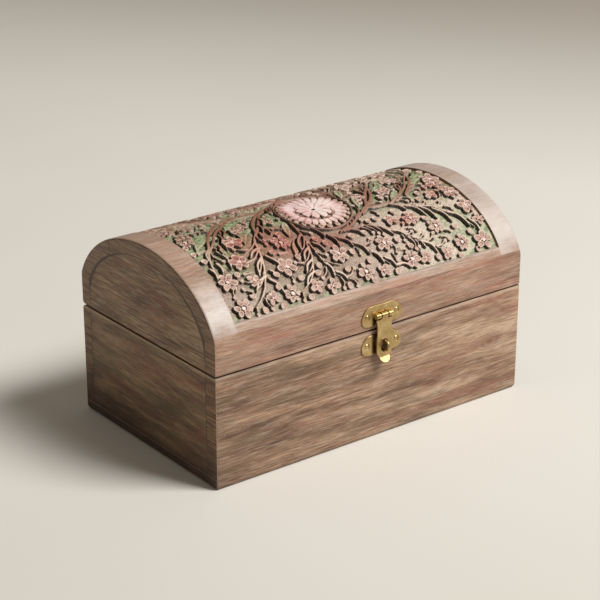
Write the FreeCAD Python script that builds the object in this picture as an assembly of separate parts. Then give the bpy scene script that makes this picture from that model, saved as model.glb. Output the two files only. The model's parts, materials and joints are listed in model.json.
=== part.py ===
import FreeCAD, Part
import math
import os

V = FreeCAD.Vector

# Chest body: origin at the centre of the underside, X along the length, front towards -Y, Z up
length = 205.0
depth = 123.5
seam_height = 62.0
seam_gap = 0.7
board_thickness = 8.2
end_thickness = 8.2
bottom_thickness = 5.5
corner_round = 1.2
seam_round = 0.45
joint_round = 0.35
foot_round = 2.4

# Domed lid: straight rails up to the spring, then an arch whose ellipse is centred below it
spring_rise = 18.0
dome_rise = 33.4
arch_centre_drop = 12.6
crown_thickness = 8.0
rail_joint_rise = 2.0
spring_round = 6.0
crown_joint_inset = 29.75

# Carved field: ground sunk below the plain border of the dome
end_border = 14.2
front_border_rise = 5.9
carving_depth = 3.2

# Carved panels that fill the field: heights above its floor, and sizes of the forms on their ground
panel_clearance = 0.1
stem_root = 0.25
form_root = 0.5
ground_height = 0.95
stem_height = 2.5
flower_height = 2.8
petal_count = 6
petal_reach = 3.75
petal_radius = 2.05
small_flower_radius = 3.4
leaf_half_width = 2.0
medallion_radius = 21.8
medallion_ring_width = 1.6
medallion_petals_outside = 18.7
medallion_petals_inside = 10.6
medallion_heart_count = 12
medallion_heart_reach = 7.6
medallion_heart_radius = 2.1

# Bevelled back edges that stop the open lid
bevel_depth = 2.4
bevel_height = 2.0

# Butt hinges let into the back edges
hinge_end_margin = 27.5
hinge_length = 26.0
hinge_knuckle_length = 8.4
hinge_axis_inset = 1.6
hinge_barrel_radius = 1.7
hinge_pin_radius = 0.8
hinge_leaf_thickness = 0.9
hinge_leaf_reach = 5.7
hinge_screw_margin = 5.0
hinge_screw_reach = 3.4
hinge_screw_radius = 0.85
hinge_screw_head_radius = 1.55
hinge_screw_length = 9.0
screw_slot_width = 0.45
screw_slot_depth = 0.35

# Hasp on the front
hasp_offset_x = 2.8
plate_width = 26.6
plate_height = 11.2
plate_top_round = 6.8
plate_foot_round = 4.2
plate_thickness = 0.8
plate_edge_round = 0.3
upper_plate_rise = 7.9
lower_plate_drop = 8.2
staple_drop = 8.9
plate_pin_spacing = 19.6
plate_pin_radius = 0.6
plate_pin_length = 7.5
plate_pin_head_radius = 1.4
plate_pin_head_height = 0.75
pin_seat_radius = 1.75
pin_seat_depth = 0.25
plate_notch_radius = 6.5
plate_notch_depth = 2.6
hasp_axis_rise = 7.8
hasp_axis_stand_off = 1.4
hasp_barrel_radius = 1.5
hasp_barrel_length = 11.0
hasp_knuckle_length = 4.4
hasp_pin_radius = 0.65
strap_thickness = 0.9
strap_edge_round = 0.3
strap_set_forward = 0.1
strap_shoulder_width = 11.0
strap_waist_width = 9.3
strap_lock_width = 9.9
strap_foot_width = 9.4
strap_foot_round = 1.8
strap_waist_drop = 2.0
strap_lock_drop = 8.6
strap_bend_drop = 15.2
strap_slot_width = 4.7
strap_slot_height = 7.4
tab_radius = 3.3
tab_angle = 38.0
staple_wire_radius = 0.75
staple_half_height = 2.4
staple_reach = 3.3

# Nails
brad_radius = 0.6
brad_length = 17.0
brad_head_radius = 0.9
brad_head_height = 0.8
brad_sink = 1.2
base_brad_margin = 13.2
lid_brad_rise = 6.0
bottom_brad_length = 16.0
bottom_brad_head_radius = 1.2
bottom_brad_sink = 0.4
bottom_brad_end_margin = 18.5

# Fits
swing_clearance = 0.3
knuckle_side_clearance = 0.2
running_clearance = 0.05

# Layout of the carving on the unrolled dome: x along the chest, s round the arch, front negative
pattern_half_length = 88.3
pattern_half_girth = 67.0
medallion_place = (0, -7.5)
stems = [
    (1.7, 1.2, [(0, -32), (5.4, -30.9), (16.6, -24.6), (31, -16.5), (37, -10.9), (41, -5.2), (46, 6)]),
    (1.5, 0.9, [(27, -19.5), (36, -20.3), (43.5, -20), (50.4, -17), (63.5, -7.7), (69, -0.9), (78, 9)]),
    (1.2, 0.5, [(40, -20.3), (52, -27.7), (58.5, -29.5), (63.5, -32), (68, -37.5), (74.5, -44.5), (82, -57)]),
    (1.2, 0.5, [(2, -32), (14.7, -32.7), (21, -35.2), (34, -46), (41, -51.7), (52, -59.5), (57, -65)]),
    (1.2, 0.5, [(-7, -33.5), (2, -42.5), (6, -48.5), (11, -54.5), (17, -60), (24, -62.5), (31, -63.5)]),
    (1.6, 0.9, [(-15, -4), (-18.5, -9.5), (-21, -17), (-22, -24), (-22.8, -31)]),
    (0.8, 0.45, [(-22.7, -30), (-27, -36), (-34, -41)]),
    (0.8, 0.45, [(-22.6, -35), (-28, -46), (-33, -51.5), (-40, -55)]),
    (0.9, 0.45, [(-23, -31), (-22.3, -47), (-21.3, -53), (-17, -59), (-13, -61), (-7.5, -63.5)]),
    (1.6, 0.7, [(-22, 8), (-33, -4), (-39, -11.5), (-49, -22.5), (-52, -31), (-57.7, -45), (-66.5, -59.6)]),
    (0.8, 0.45, [(-47.7, -21.7), (-54, -27), (-60.5, -30)]),
    (0.8, 0.45, [(-52, -30), (-57.7, -35), (-64.5, -36.5)]),
    (0.8, 0.45, [(-54, -36), (-60, -44), (-65, -47.5), (-70, -50)]),
    (0.8, 0.45, [(-57.5, -44), (-63.4, -51), (-71, -54.5)]),
    (0.8, 0.45, [(-62, -53), (-67.7, -59), (-73, -62.7)]),
    (1.7, 0.7, [(-56, 3), (-66.5, -6.5), (-71.5, -12.7), (-74.5, -18), (-79, -25), (-82.5, -33), (-84, -42)]),
    (1.1, 0.6, [(-54, 0), (-59.5, -5.5), (-63.5, -12), (-65.5, -19), (-67, -25)]),
]
leaves = [
    [(-46, 3), (-51.5, -1.5), (-56, -6)],
    [(-43, -11), (-51, -15), (-55, -23)],
    [(-23, -12), (-26, -18), (-29, -26)],
    [(-25, -27), (-30, -33), (-34.5, -40)],
    [(62, -3), (71, -5), (77, -2)],
    [(-70, -10), (-77, -13), (-82, -18)],
    [(24, -17), (27, -11), (29, -4)],
    [(47, -11), (51, -5), (54, 2)],
]
flowers = [
    (-80, -2.7), (-61, -19), (-37, -29), (-67, -34.5), (-80.6, -45), (-44, -45.3), (-79.6, -61), (-49, -60.5),
    (-11, -45.9), (-1, -60), (44.8, -35.9), (18.8, -47), (56, -45.3), (66, -58.8), (30, -60.3), (82.6, -6.5),
    (82.6, -24), (83.5, -37), (80.5, -61),
]
small_flowers = [
    (32.6, -33.4), (39, -61.5), (10, -62), (-61, -60), (-33.4, -60), (-24, -62.5), (54, -62.5),
    (-66, -48), (-31, -8), (-47, -7), (70, -22.5), (52, -6), (85, -48),
]

# Values that follow from the sizes above
half_length = length / 2
front_y = depth / 2
inner_y = front_y - board_thickness
base_top = seam_height - seam_gap / 2
lid_bottom = seam_height + seam_gap / 2
spring_z = seam_height + spring_rise
rail_top = spring_z + rail_joint_rise
crown_height = spring_z + dome_rise
arch_centre_z = spring_z - arch_centre_drop
arch_rise = crown_height - arch_centre_z
arch_half_width = front_y / math.sqrt(1 - (arch_centre_drop / arch_rise) ** 2)
inner_half_width = arch_half_width - board_thickness
inner_rise = arch_rise - crown_thickness
crown_joint_y = front_y - crown_joint_inset
field_half_length = half_length - end_border
field_front_z = spring_z + front_border_rise
hinge_centre_x = half_length - hinge_end_margin - hinge_length / 2
upper_plate_z = seam_height + upper_plate_rise
lower_plate_z = seam_height - lower_plate_drop
staple_z = seam_height - staple_drop
hasp_axis_z = seam_height + hasp_axis_rise
strap_waist_z = seam_height - strap_waist_drop
strap_lock_z = seam_height - strap_lock_drop
strap_bend_z = seam_height - strap_bend_drop
lid_brad_z = seam_height + lid_brad_rise
base_brad_heights = (bottom_thickness + base_brad_margin, base_top - base_brad_margin)
hinge_axis_y = front_y - hinge_axis_inset
plate_face_y = -front_y - plate_thickness
hasp_axis_y = plate_face_y - hasp_axis_stand_off
strap_back_y = hasp_axis_y - strap_set_forward
strap_face_y = strap_back_y - strap_thickness


def block(x0, x1, y0, y1, z0, z1):
    return Part.makeBox(x1 - x0, y1 - y0, z1 - z0, V(x0, y0, z0))


def rod_x(x0, x1, y, z, radius):
    return Part.makeCylinder(radius, x1 - x0, V(x0, y, z), V(1, 0, 0))


def rod_y(x, y0, y1, z, radius):
    return Part.makeCylinder(radius, y1 - y0, V(x, y0, z), V(0, 1, 0))


def arch_prism(half_width_y, z_low, semi_y, semi_z, x0, x1):
    """Solid under an arch: straight sides up to the spring, then an elliptical top."""
    spring = arch_centre_z + semi_z * math.sqrt(1 - (half_width_y / semi_y) ** 2)
    middle = V(x0, 0, arch_centre_z)
    ellipse = Part.Ellipse(middle + V(0, semi_y, 0), middle + V(0, 0, semi_z), middle)
    start = math.asin((spring - arch_centre_z) / semi_z)
    arc = Part.ArcOfEllipse(ellipse, start, math.pi - start).toShape()
    low_back = V(x0, half_width_y, z_low)
    low_front = V(x0, -half_width_y, z_low)
    sides = [
        Part.makeLine(low_front, low_back),
        Part.makeLine(low_back, V(x0, half_width_y, spring)),
        arc,
        Part.makeLine(V(x0, -half_width_y, spring), low_front),
    ]
    return Part.Face(Part.Wire(sides)).extrude(V(x1 - x0, 0, 0))


def pick_edges(shape, test):
    return [edge for edge in shape.Edges if test(edge.BoundBox, edge.CenterOfMass)]


def upright(box, centre):
    return box.ZLength > 1 and box.XLength < 1e-6 and box.YLength < 1e-6


def level_at(z):
    return lambda box, centre: box.ZLength < 1e-6 and abs(centre.z - z) < 1e-6


def at_ends(box, centre):
    return box.XLength < 1e-6 and abs(abs(centre.x) - half_length) < 1e-6


def across(z_test):
    """Edges that run from front to back, chosen by height."""
    return lambda box, centre: box.XLength < 1e-6 and box.ZLength < 1e-6 and z_test(centre.z)


def facing_front(y):
    return lambda box, centre: box.YLength < 1e-6 and abs(centre.y - y) < 1e-6


def plate_outline(centre_z):
    """Brass plate with eased edges, its upper corners rounded more widely, and seats for its pins."""
    x0 = hasp_offset_x - plate_width / 2
    z0 = centre_z - plate_height / 2
    plate = block(x0, x0 + plate_width, plate_face_y, -front_y, z0, z0 + plate_height)
    plate = plate.makeFillet(plate_top_round, pick_edges(plate, across(lambda z: z > centre_z)))
    plate = plate.makeFillet(plate_foot_round, pick_edges(plate, across(lambda z: z < z0 + 1e-6)))
    plate = plate.makeFillet(plate_edge_round, pick_edges(plate, facing_front(plate_face_y)))
    for side in (-1, 1):
        x = hasp_offset_x + side * plate_pin_spacing / 2
        seat_y = plate_face_y + pin_seat_depth
        plate = plate.cut(rod_y(x, plate_face_y, seat_y, centre_z, pin_seat_radius))
    return plate


def plate_pins(centre_z):
    """Two dome-headed pins through a plate into the wood."""
    pins = []
    ball = (plate_pin_head_radius ** 2 + plate_pin_head_height ** 2) / (2 * plate_pin_head_height)
    seat_y = plate_face_y + pin_seat_depth
    for side in (-1, 1):
        x = hasp_offset_x + side * plate_pin_spacing / 2
        dome = Part.makeSphere(ball, V(x, seat_y - plate_pin_head_height + ball, centre_z))
        dome = dome.common(rod_y(x, seat_y - ball, seat_y, centre_z, ball))
        shank = rod_y(x, seat_y, seat_y + plate_pin_length, centre_z, plate_pin_radius)
        pins.append(dome.fuse(shank).removeSplitter())
    return pins


def cut_all(shape, tools):
    for tool in tools:
        shape = shape.cut(tool)
    return shape


# Outer form of the base with its eased edges, then divided into boards
base_form = block(-half_length, half_length, -front_y, front_y, bottom_thickness, base_top)
base_form = base_form.makeFillet(corner_round, pick_edges(base_form, upright))
base_form = base_form.makeFillet(seam_round, pick_edges(base_form, level_at(base_top)))
base_form = base_form.makeFillet(joint_round, pick_edges(base_form, level_at(bottom_thickness)))
base_front = base_form.common(block(-half_length, half_length, -front_y, -inner_y, 0, crown_height))
base_back = base_form.common(block(-half_length, half_length, inner_y, front_y, 0, crown_height))
inner_end = half_length - end_thickness
base_left = base_form.common(block(-half_length, -inner_end, -inner_y, inner_y, 0, crown_height))
base_right = base_form.common(block(inner_end, half_length, -inner_y, inner_y, 0, crown_height))

bottom = block(-half_length, half_length, -front_y, front_y, 0, bottom_thickness)
bottom = bottom.makeFillet(foot_round, pick_edges(bottom, level_at(0)))
bottom = bottom.makeFillet(corner_round, pick_edges(bottom, upright))
bottom = bottom.makeFillet(joint_round, pick_edges(bottom, level_at(bottom_thickness)))

# Outer form of the lid, then divided into rails, ends and the two arched boards
lid_form = arch_prism(front_y, lid_bottom, arch_half_width, arch_rise, -half_length, half_length)
lid_form = lid_form.makeFillet(spring_round, pick_edges(lid_form, level_at(spring_z)))
lid_form = lid_form.makeFillet(
    corner_round,
    pick_edges(lid_form, lambda box, centre: at_ends(box, centre) and centre.z > lid_bottom + 1e-6),
)
lid_form = lid_form.makeFillet(seam_round, pick_edges(lid_form, level_at(lid_bottom)))
arch_space = arch_prism(inner_y, lid_bottom - 1, inner_half_width, inner_rise, -length, length)
lid_shell = lid_form.cut(arch_space)
lid_front = lid_shell.common(block(-half_length, half_length, -front_y, 0, 0, rail_top))
lid_back = lid_shell.common(block(-half_length, half_length, 0, front_y, 0, rail_top))
lid_filling = lid_form.common(arch_space)
lid_left = lid_filling.common(block(-half_length, -inner_end, -front_y, front_y, 0, crown_height))
lid_right = lid_filling.common(block(inner_end, half_length, -front_y, front_y, 0, crown_height))

field_floor = arch_prism(
    front_y - carving_depth, 0, arch_half_width - carving_depth, arch_rise - carving_depth, -length, length
)
field = block(-field_half_length, field_half_length, -front_y, front_y, field_front_z, crown_height + 1)
crown = lid_shell.common(block(-half_length, half_length, -front_y, front_y, rail_top, crown_height + 1))
crown = crown.cut(field.cut(field_floor))
crown_front = crown.common(block(-half_length, half_length, -front_y, crown_joint_y, 0, crown_height + 1))
crown_back = crown.common(block(-half_length, half_length, crown_joint_y, front_y, 0, crown_height + 1))

# Carving: a ground layer in the field with stems, leaves, flowers and a medallion standing on it
dome_middle = V(0, 0, arch_centre_z)
dome_side = dome_middle + V(0, arch_half_width, 0)
dome_ellipse = Part.Ellipse(dome_side, dome_middle + V(0, 0, arch_rise), dome_middle)
dome_edge = Part.ArcOfEllipse(dome_ellipse, 0, math.pi).toShape()
field_turn = math.asin((field_front_z - arch_centre_z) / arch_rise)
field_half_girth = dome_ellipse.length(field_turn, math.pi / 2)
deep_root = -arch_rise / 2
along = V(1, 0, 0)


def dome_place(x, s):
    """Place on the dome for a place in the layout, with the way round the arch and the outward normal."""
    girth = s * field_half_girth / pattern_half_girth
    turn = dome_edge.getParameterByLength(dome_edge.Length / 2 - girth)
    place = dome_edge.valueAt(turn)
    tangent = dome_edge.tangentAt(turn)
    place.x = x * field_half_length / pattern_half_length
    return place, -tangent, V(0, tangent.z, -tangent.y)


def turned_place(x, s):
    """The same layout turned half round the medallion and drawn out to the back edge."""
    turned = 2 * medallion_place[1] - s
    near = medallion_place[1] + medallion_radius
    far = 2 * medallion_place[1] + pattern_half_girth
    if turned > near:
        turned = near + (turned - near) * (pattern_half_girth - near) / (far - near)
    return -x, turned


def prism(outline, normal, low, high):
    """Block over a closed outline on the dome's tangent plane, between two heights above the floor."""
    face = Part.Face(Part.Wire(outline))
    face.translate(normal * (low - carving_depth))
    return face.extrude(normal * (high - low))


def flattened(points):
    """Places of the layout laid flat on the dome's tangent plane at their middle."""
    centre, round_arch, normal = dome_place(*points[len(points) // 2])
    flat = []
    for point in points:
        offset = dome_place(*point)[0] - centre
        flat.append(centre + along * offset.dot(along) + round_arch * offset.dot(round_arch))
    return flat, normal


def stem(points, start, end):
    """Band along a curve, tapering from one half width to another."""
    flat, normal = flattened(points)
    middle = Part.BSplineCurve()
    middle.interpolate(flat)
    sides = ([], [])
    steps = 2 * len(points)
    for step in range(steps + 1):
        share = step / steps
        turn = middle.FirstParameter + share * (middle.LastParameter - middle.FirstParameter)
        across = normal.cross(V(*middle.tangent(turn)[0])) * (start + (end - start) * share)
        sides[0].append(middle.value(turn) + across)
        sides[1].append(middle.value(turn) - across)
    edges = []
    for side in (sides[0], sides[1][::-1]):
        curve = Part.BSplineCurve()
        curve.interpolate(side)
        edges.append(curve.toShape())
    edges.insert(1, Part.makeLine(sides[0][-1], sides[1][-1]))
    edges.append(Part.makeLine(sides[1][0], sides[0][0]))
    return prism(edges, normal, deep_root, carving_depth)


def leaf(points, half_width):
    """Pointed leaf between two arcs."""
    (root, middle, tip), normal = flattened(points)
    across = normal.cross((tip - root).normalize()) * half_width
    outline = [
        Part.Arc(root, middle + across, tip).toShape(),
        Part.Arc(tip, middle - across, root).toShape(),
    ]
    return prism(outline, normal, deep_root, carving_depth)


def rosette(x, s, count, reach, radius, low, high):
    """Flower whose outline is a ring of round petals."""
    centre, round_arch, normal = dome_place(x, s)
    half = math.pi / count
    waist = reach * math.cos(half) + math.sqrt(radius ** 2 - (reach * math.sin(half)) ** 2)

    def spot(turn, distance):
        return centre + along * (distance * math.cos(turn)) + round_arch * (distance * math.sin(turn))

    petals = []
    for step in range(count):
        turn = 2 * half * step
        tip = spot(turn, reach + radius)
        petals.append(Part.Arc(spot(turn - half, waist), tip, spot(turn + half, waist)).toShape())
    return prism(petals, normal, low, high)


def disc(x, s, radius, low, high):
    """Round form standing square to the dome."""
    centre, round_arch, normal = dome_place(x, s)
    return Part.makeCylinder(radius, high - low, centre + normal * (low - carving_depth), normal)


def field_layer(low, high):
    """Layer of the carved field between two heights above its floor."""
    reach = field_half_length - panel_clearance
    layer = block(-reach, reach, -front_y, front_y, field_front_z + panel_clearance, crown_height)
    bounds = []
    for height in (low, high):
        sink = carving_depth - height
        semi_y = arch_half_width - sink
        bounds.append(arch_prism(front_y - sink, 0, semi_y, arch_rise - sink, -length, length))
    return layer.common(bounds[1]).cut(bounds[0])


def front_place(x, s):
    return x, s


bands = []
forms = []
for place in (front_place, turned_place):
    for points in leaves:
        bands.append(leaf([place(*point) for point in points], leaf_half_width))
    for start, end, points in stems:
        bands.append(stem([place(*point) for point in points], start, end))
    for x, s in flowers:
        forms.append(rosette(*place(x, s), petal_count, petal_reach, petal_radius, form_root, flower_height))
    for x, s in small_flowers:
        forms.append(disc(*place(x, s), small_flower_radius, form_root, flower_height))

medallion_disc = disc(*medallion_place, medallion_radius, deep_root, carving_depth)
ring_inside = disc(*medallion_place, medallion_radius - medallion_ring_width, deep_root, carving_depth)
petals_outside = disc(*medallion_place, medallion_petals_outside, deep_root, carving_depth)
petals_inside = disc(*medallion_place, medallion_petals_inside, deep_root, carving_depth)
heart = rosette(
    *medallion_place, medallion_heart_count, medallion_heart_reach, medallion_heart_radius,
    deep_root, carving_depth,
)
medallion = medallion_disc.cut(ring_inside).fuse(petals_outside.cut(petals_inside)).fuse(heart)
medallion = medallion.common(field_layer(form_root, flower_height))
bands = bands[0].multiFuse(bands[1:]).cut(medallion_disc).common(field_layer(stem_root, stem_height))
carving = field_layer(panel_clearance, ground_height).multiFuse(forms + bands.Solids + medallion.Solids)
panel_end = field_half_length - panel_clearance
panel_low = field_front_z + panel_clearance
panel_joint = panel_clearance / 2
carving_front = carving.common(
    block(-panel_end, panel_end, -front_y, crown_joint_y - panel_joint, panel_low, crown_height)
)
carving_back = carving.common(
    block(-panel_end, panel_end, crown_joint_y + panel_joint, front_y, panel_low, crown_height)
)

# Bevels along the back seam
bevel = Part.Face(Part.makePolygon([
    V(-length, front_y - bevel_depth, 0),
    V(-length, front_y, bevel_height),
    V(-length, front_y + 1, bevel_height),
    V(-length, front_y + 1, -bevel_height),
    V(-length, front_y, -bevel_height),
    V(-length, front_y - bevel_depth, 0),
])).extrude(V(2 * length, 0, 0))
base_bevel = bevel.translated(V(0, 0, base_top))
lid_bevel = bevel.translated(V(0, 0, lid_bottom))
base_back = base_back.cut(base_bevel)
lid_back = lid_back.cut(lid_bevel)


def hinge(centre_x):
    """Base leaf, lid leaf and pin of one butt hinge."""
    x0 = centre_x - hinge_length / 2
    x1 = centre_x + hinge_length / 2
    k0 = centre_x - hinge_knuckle_length / 2
    k1 = centre_x + hinge_knuckle_length / 2
    y0 = hinge_axis_y - hinge_leaf_reach
    free_radius = hinge_barrel_radius + swing_clearance
    base_leaf = block(x0, x1, y0, hinge_axis_y, base_top - hinge_leaf_thickness, base_top)
    lid_leaf = block(x0, x1, y0, hinge_axis_y, lid_bottom, lid_bottom + hinge_leaf_thickness)
    gap0 = k0 - knuckle_side_clearance
    gap1 = k1 + knuckle_side_clearance
    base_leaf = base_leaf.cut(rod_x(gap0, gap1, hinge_axis_y, seam_height, free_radius))
    for a, b in ((x0, gap0), (gap1, x1)):
        base_leaf = base_leaf.fuse(rod_x(a, b, hinge_axis_y, seam_height, hinge_barrel_radius))
        reach = (max(a - knuckle_side_clearance, x0), min(b + knuckle_side_clearance, x1))
        lid_leaf = lid_leaf.cut(rod_x(reach[0], reach[1], hinge_axis_y, seam_height, free_radius))
    lid_leaf = lid_leaf.fuse(rod_x(k0, k1, hinge_axis_y, seam_height, hinge_barrel_radius))
    pin = rod_x(x0, x1, hinge_axis_y, seam_height, hinge_pin_radius)
    base_leaf = base_leaf.cut(pin)
    lid_leaf = lid_leaf.cut(rod_x(x0, x1, hinge_axis_y, seam_height, hinge_pin_radius + running_clearance))
    return base_leaf.removeSplitter(), lid_leaf.removeSplitter(), pin


def hinge_screw(x, z, up):
    """Countersunk slotted screw whose head lies flush with a leaf."""
    y = hinge_axis_y - hinge_screw_reach
    head_depth = hinge_screw_head_radius - hinge_screw_radius
    head = Part.makeCone(hinge_screw_head_radius, hinge_screw_radius, head_depth, V(x, y, z), V(0, 0, up))
    shank = Part.makeCylinder(hinge_screw_radius, hinge_screw_length, V(x, y, z), V(0, 0, up))
    body = head.fuse(shank).removeSplitter()
    slot_low = min(z, z + up * screw_slot_depth)
    reach = hinge_screw_head_radius
    half = screw_slot_width / 2
    slot = block(x - reach, x + reach, y - half, y + half, slot_low, slot_low + screw_slot_depth)
    return body, body.cut(slot)


hinge_nodes = {}
base_screws = []
lid_screws = []
for name, side in (("left", -1), ("right", 1)):
    centre_x = side * hinge_centre_x
    base_leaf, lid_leaf, pin = hinge(centre_x)
    pocket = rod_x(
        centre_x - hinge_length / 2 - swing_clearance, centre_x + hinge_length / 2 + swing_clearance,
        hinge_axis_y, seam_height, hinge_barrel_radius + swing_clearance
    )
    bed_front = hinge_axis_y - hinge_leaf_reach
    bed = (centre_x - hinge_length / 2, centre_x + hinge_length / 2, bed_front, hinge_axis_y)
    base_back = base_back.cut(pocket).cut(block(*bed, base_top - hinge_leaf_thickness, base_top))
    lid_back = lid_back.cut(pocket).cut(block(*bed, lid_bottom, lid_bottom + hinge_leaf_thickness))
    for step in (-1, 1):
        x = centre_x + step * (hinge_length / 2 - hinge_screw_margin)
        body, screw = hinge_screw(x, base_top, -1)
        base_leaf = base_leaf.cut(body)
        base_back = base_back.cut(body)
        base_screws.append(screw)
        body, screw = hinge_screw(x, lid_bottom, 1)
        lid_leaf = lid_leaf.cut(body)
        lid_back = lid_back.cut(body)
        lid_screws.append(screw)
    hinge_nodes[name + "_hinge_base_leaf"] = base_leaf
    hinge_nodes[name + "_hinge_lid_leaf"] = lid_leaf
    hinge_nodes[name + "_hinge_pin"] = pin

# Upper plate of the hasp: outer knuckles, a window for the middle one and a notch in its lower edge
x0 = hasp_offset_x - hasp_barrel_length / 2
x1 = hasp_offset_x + hasp_barrel_length / 2
k0 = hasp_offset_x - hasp_knuckle_length / 2
k1 = hasp_offset_x + hasp_knuckle_length / 2
gap0 = k0 - knuckle_side_clearance
gap1 = k1 + knuckle_side_clearance
strap_window = rod_x(gap0, gap1, hasp_axis_y, hasp_axis_z, hasp_barrel_radius + swing_clearance)
notch_z = upper_plate_z - plate_height / 2 + plate_notch_depth - plate_notch_radius
hasp_plate = plate_outline(upper_plate_z)
hasp_plate = hasp_plate.cut(rod_y(hasp_offset_x, plate_face_y, -front_y, notch_z, plate_notch_radius))
hasp_plate = hasp_plate.cut(strap_window)
for a, b in ((x0, gap0), (gap1, x1)):
    hasp_plate = hasp_plate.fuse(rod_x(a, b, hasp_axis_y, hasp_axis_z, hasp_barrel_radius))
hasp_pin = rod_x(x0, x1, hasp_axis_y, hasp_axis_z, hasp_pin_radius)
hasp_plate = hasp_plate.cut(hasp_pin).removeSplitter()

# Strap: middle knuckle, waisted body with a slot over the staple, round finger tab bent forward
shoulder_z = hasp_axis_z - hasp_barrel_radius - swing_clearance
outline = [
    (strap_shoulder_width, shoulder_z),
    (strap_waist_width, strap_waist_z),
    (strap_lock_width, strap_lock_z),
    (strap_foot_width, strap_bend_z + strap_foot_round),
]
sides = []
for side, places in ((1, outline), (-1, outline[::-1])):
    curve = Part.BSplineCurve()
    curve.interpolate([V(hasp_offset_x + side * width / 2, strap_back_y, z) for width, z in places])
    sides.append(curve.toShape())
corners = [sides[1].lastVertex().Point, sides[0].firstVertex().Point]
top_line = Part.makeLine(corners[0], corners[1])
foot = [
    V(hasp_offset_x + strap_foot_width / 2, strap_back_y, strap_bend_z + strap_foot_round),
    V(hasp_offset_x + tab_radius, strap_back_y, strap_bend_z),
    V(hasp_offset_x - tab_radius, strap_back_y, strap_bend_z),
    V(hasp_offset_x - strap_foot_width / 2, strap_back_y, strap_bend_z + strap_foot_round),
]
strap_edges = [top_line, sides[0]] + [Part.makeLine(a, b) for a, b in zip(foot, foot[1:])] + [sides[1]]
strap = Part.Face(Part.Wire(Part.__sortEdges__(strap_edges))).extrude(V(0, -strap_thickness, 0))
strap_sides = pick_edges(strap, lambda box, centre: box.ZLength > 3 and abs(centre.y - strap_face_y) < 1e-6)
strap = strap.makeFillet(strap_edge_round, strap_sides)
strap = strap.fuse(block(k0, k1, strap_face_y, strap_back_y, shoulder_z, hasp_axis_z))
strap = strap.fuse(rod_x(k0, k1, hasp_axis_y, hasp_axis_z, hasp_barrel_radius))
below = block(-half_length, half_length, -depth, depth, 0, strap_bend_z)
tab = rod_y(hasp_offset_x, strap_face_y, strap_back_y, strap_bend_z, tab_radius).common(below)
bend_line = V(hasp_offset_x, strap_face_y, strap_bend_z)
tab.rotate(bend_line, V(1, 0, 0), -tab_angle)
strap_end = Part.makePolygon([
    V(hasp_offset_x - tab_radius, strap_face_y, strap_bend_z),
    V(hasp_offset_x + tab_radius, strap_face_y, strap_bend_z),
    V(hasp_offset_x + tab_radius, strap_back_y, strap_bend_z),
    V(hasp_offset_x - tab_radius, strap_back_y, strap_bend_z),
    V(hasp_offset_x - tab_radius, strap_face_y, strap_bend_z),
])
bend = Part.Face(strap_end).revolve(bend_line, V(1, 0, 0), -tab_angle)
strap = strap.fuse(tab).fuse(bend)
slot_radius = strap_slot_width / 2
slot_reach = strap_slot_height / 2 - slot_radius
slot = block(
    hasp_offset_x - slot_radius, hasp_offset_x + slot_radius, strap_face_y, strap_back_y,
    staple_z - slot_reach, staple_z + slot_reach
)
for z in (staple_z - slot_reach, staple_z + slot_reach):
    slot = slot.fuse(rod_y(hasp_offset_x, strap_face_y, strap_back_y, z, slot_radius))
strap = strap.cut(slot)
strap = strap.cut(rod_x(k0, k1, hasp_axis_y, hasp_axis_z, hasp_pin_radius + running_clearance))
strap = strap.removeSplitter()

# Lower plate and its wire staple, whose legs pass through the plate
staple_plate = plate_outline(lower_plate_z)
bow_y = plate_face_y - staple_reach
bow_space = 2 * staple_half_height
bow_centre = V(hasp_offset_x, bow_y, staple_z)
staple = Part.makeTorus(staple_half_height, staple_wire_radius, bow_centre, V(1, 0, 0))
staple = staple.common(block(
    hasp_offset_x - bow_space, hasp_offset_x + bow_space, bow_y - bow_space, bow_y,
    staple_z - bow_space, staple_z + bow_space
))
for step in (-1, 1):
    leg = rod_y(hasp_offset_x, bow_y, -front_y, staple_z + step * staple_half_height, staple_wire_radius)
    staple_plate = staple_plate.cut(leg)
    staple = staple.fuse(leg)
staple = staple.removeSplitter()

upper_pins = plate_pins(upper_plate_z)
lower_pins = plate_pins(lower_plate_z)
hasp_plate = cut_all(hasp_plate, upper_pins)
staple_plate = cut_all(staple_plate, lower_pins)
lid_front = cut_all(lid_front, upper_pins)
base_front = cut_all(base_front, lower_pins)


def brad(x, z, side):
    """Nail through a long board into the edge of an end, punched below the face and filled over."""
    head_y = side * (front_y - brad_sink)
    head = Part.makeCylinder(brad_head_radius, brad_head_height, V(x, head_y, z), V(0, -side, 0))
    shank = Part.makeCylinder(brad_radius, brad_length, V(x, head_y, z), V(0, -side, 0))
    return head.fuse(shank).removeSplitter()


base_brads = []
lid_brads = []
for side_x in (-1, 1):
    x = side_x * (half_length - end_thickness / 2)
    for side_y in (-1, 1):
        lid_brads.append(brad(x, lid_brad_z, side_y))
        for z in base_brad_heights:
            base_brads.append(brad(x, z, side_y))

bottom_brads = []
row_end = half_length - bottom_brad_end_margin
row_places = (-row_end, -row_end / 3, row_end / 3, row_end)
spots = [(x, side * (front_y - board_thickness / 2)) for x in row_places for side in (-1, 1)]
end_row = half_length - end_thickness / 2
spots += [(side * end_row, y) for y in (-inner_y / 2, inner_y / 2) for side in (-1, 1)]
for x, y in spots:
    head = Part.makeCylinder(bottom_brad_head_radius, brad_head_height, V(x, y, bottom_brad_sink))
    shank = Part.makeCylinder(brad_radius, bottom_brad_length, V(x, y, bottom_brad_sink))
    bottom_brads.append(head.fuse(shank).removeSplitter())
    bottom = bottom.cut(Part.makeCylinder(bottom_brad_head_radius, bottom_brad_sink, V(x, y, 0)))

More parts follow.
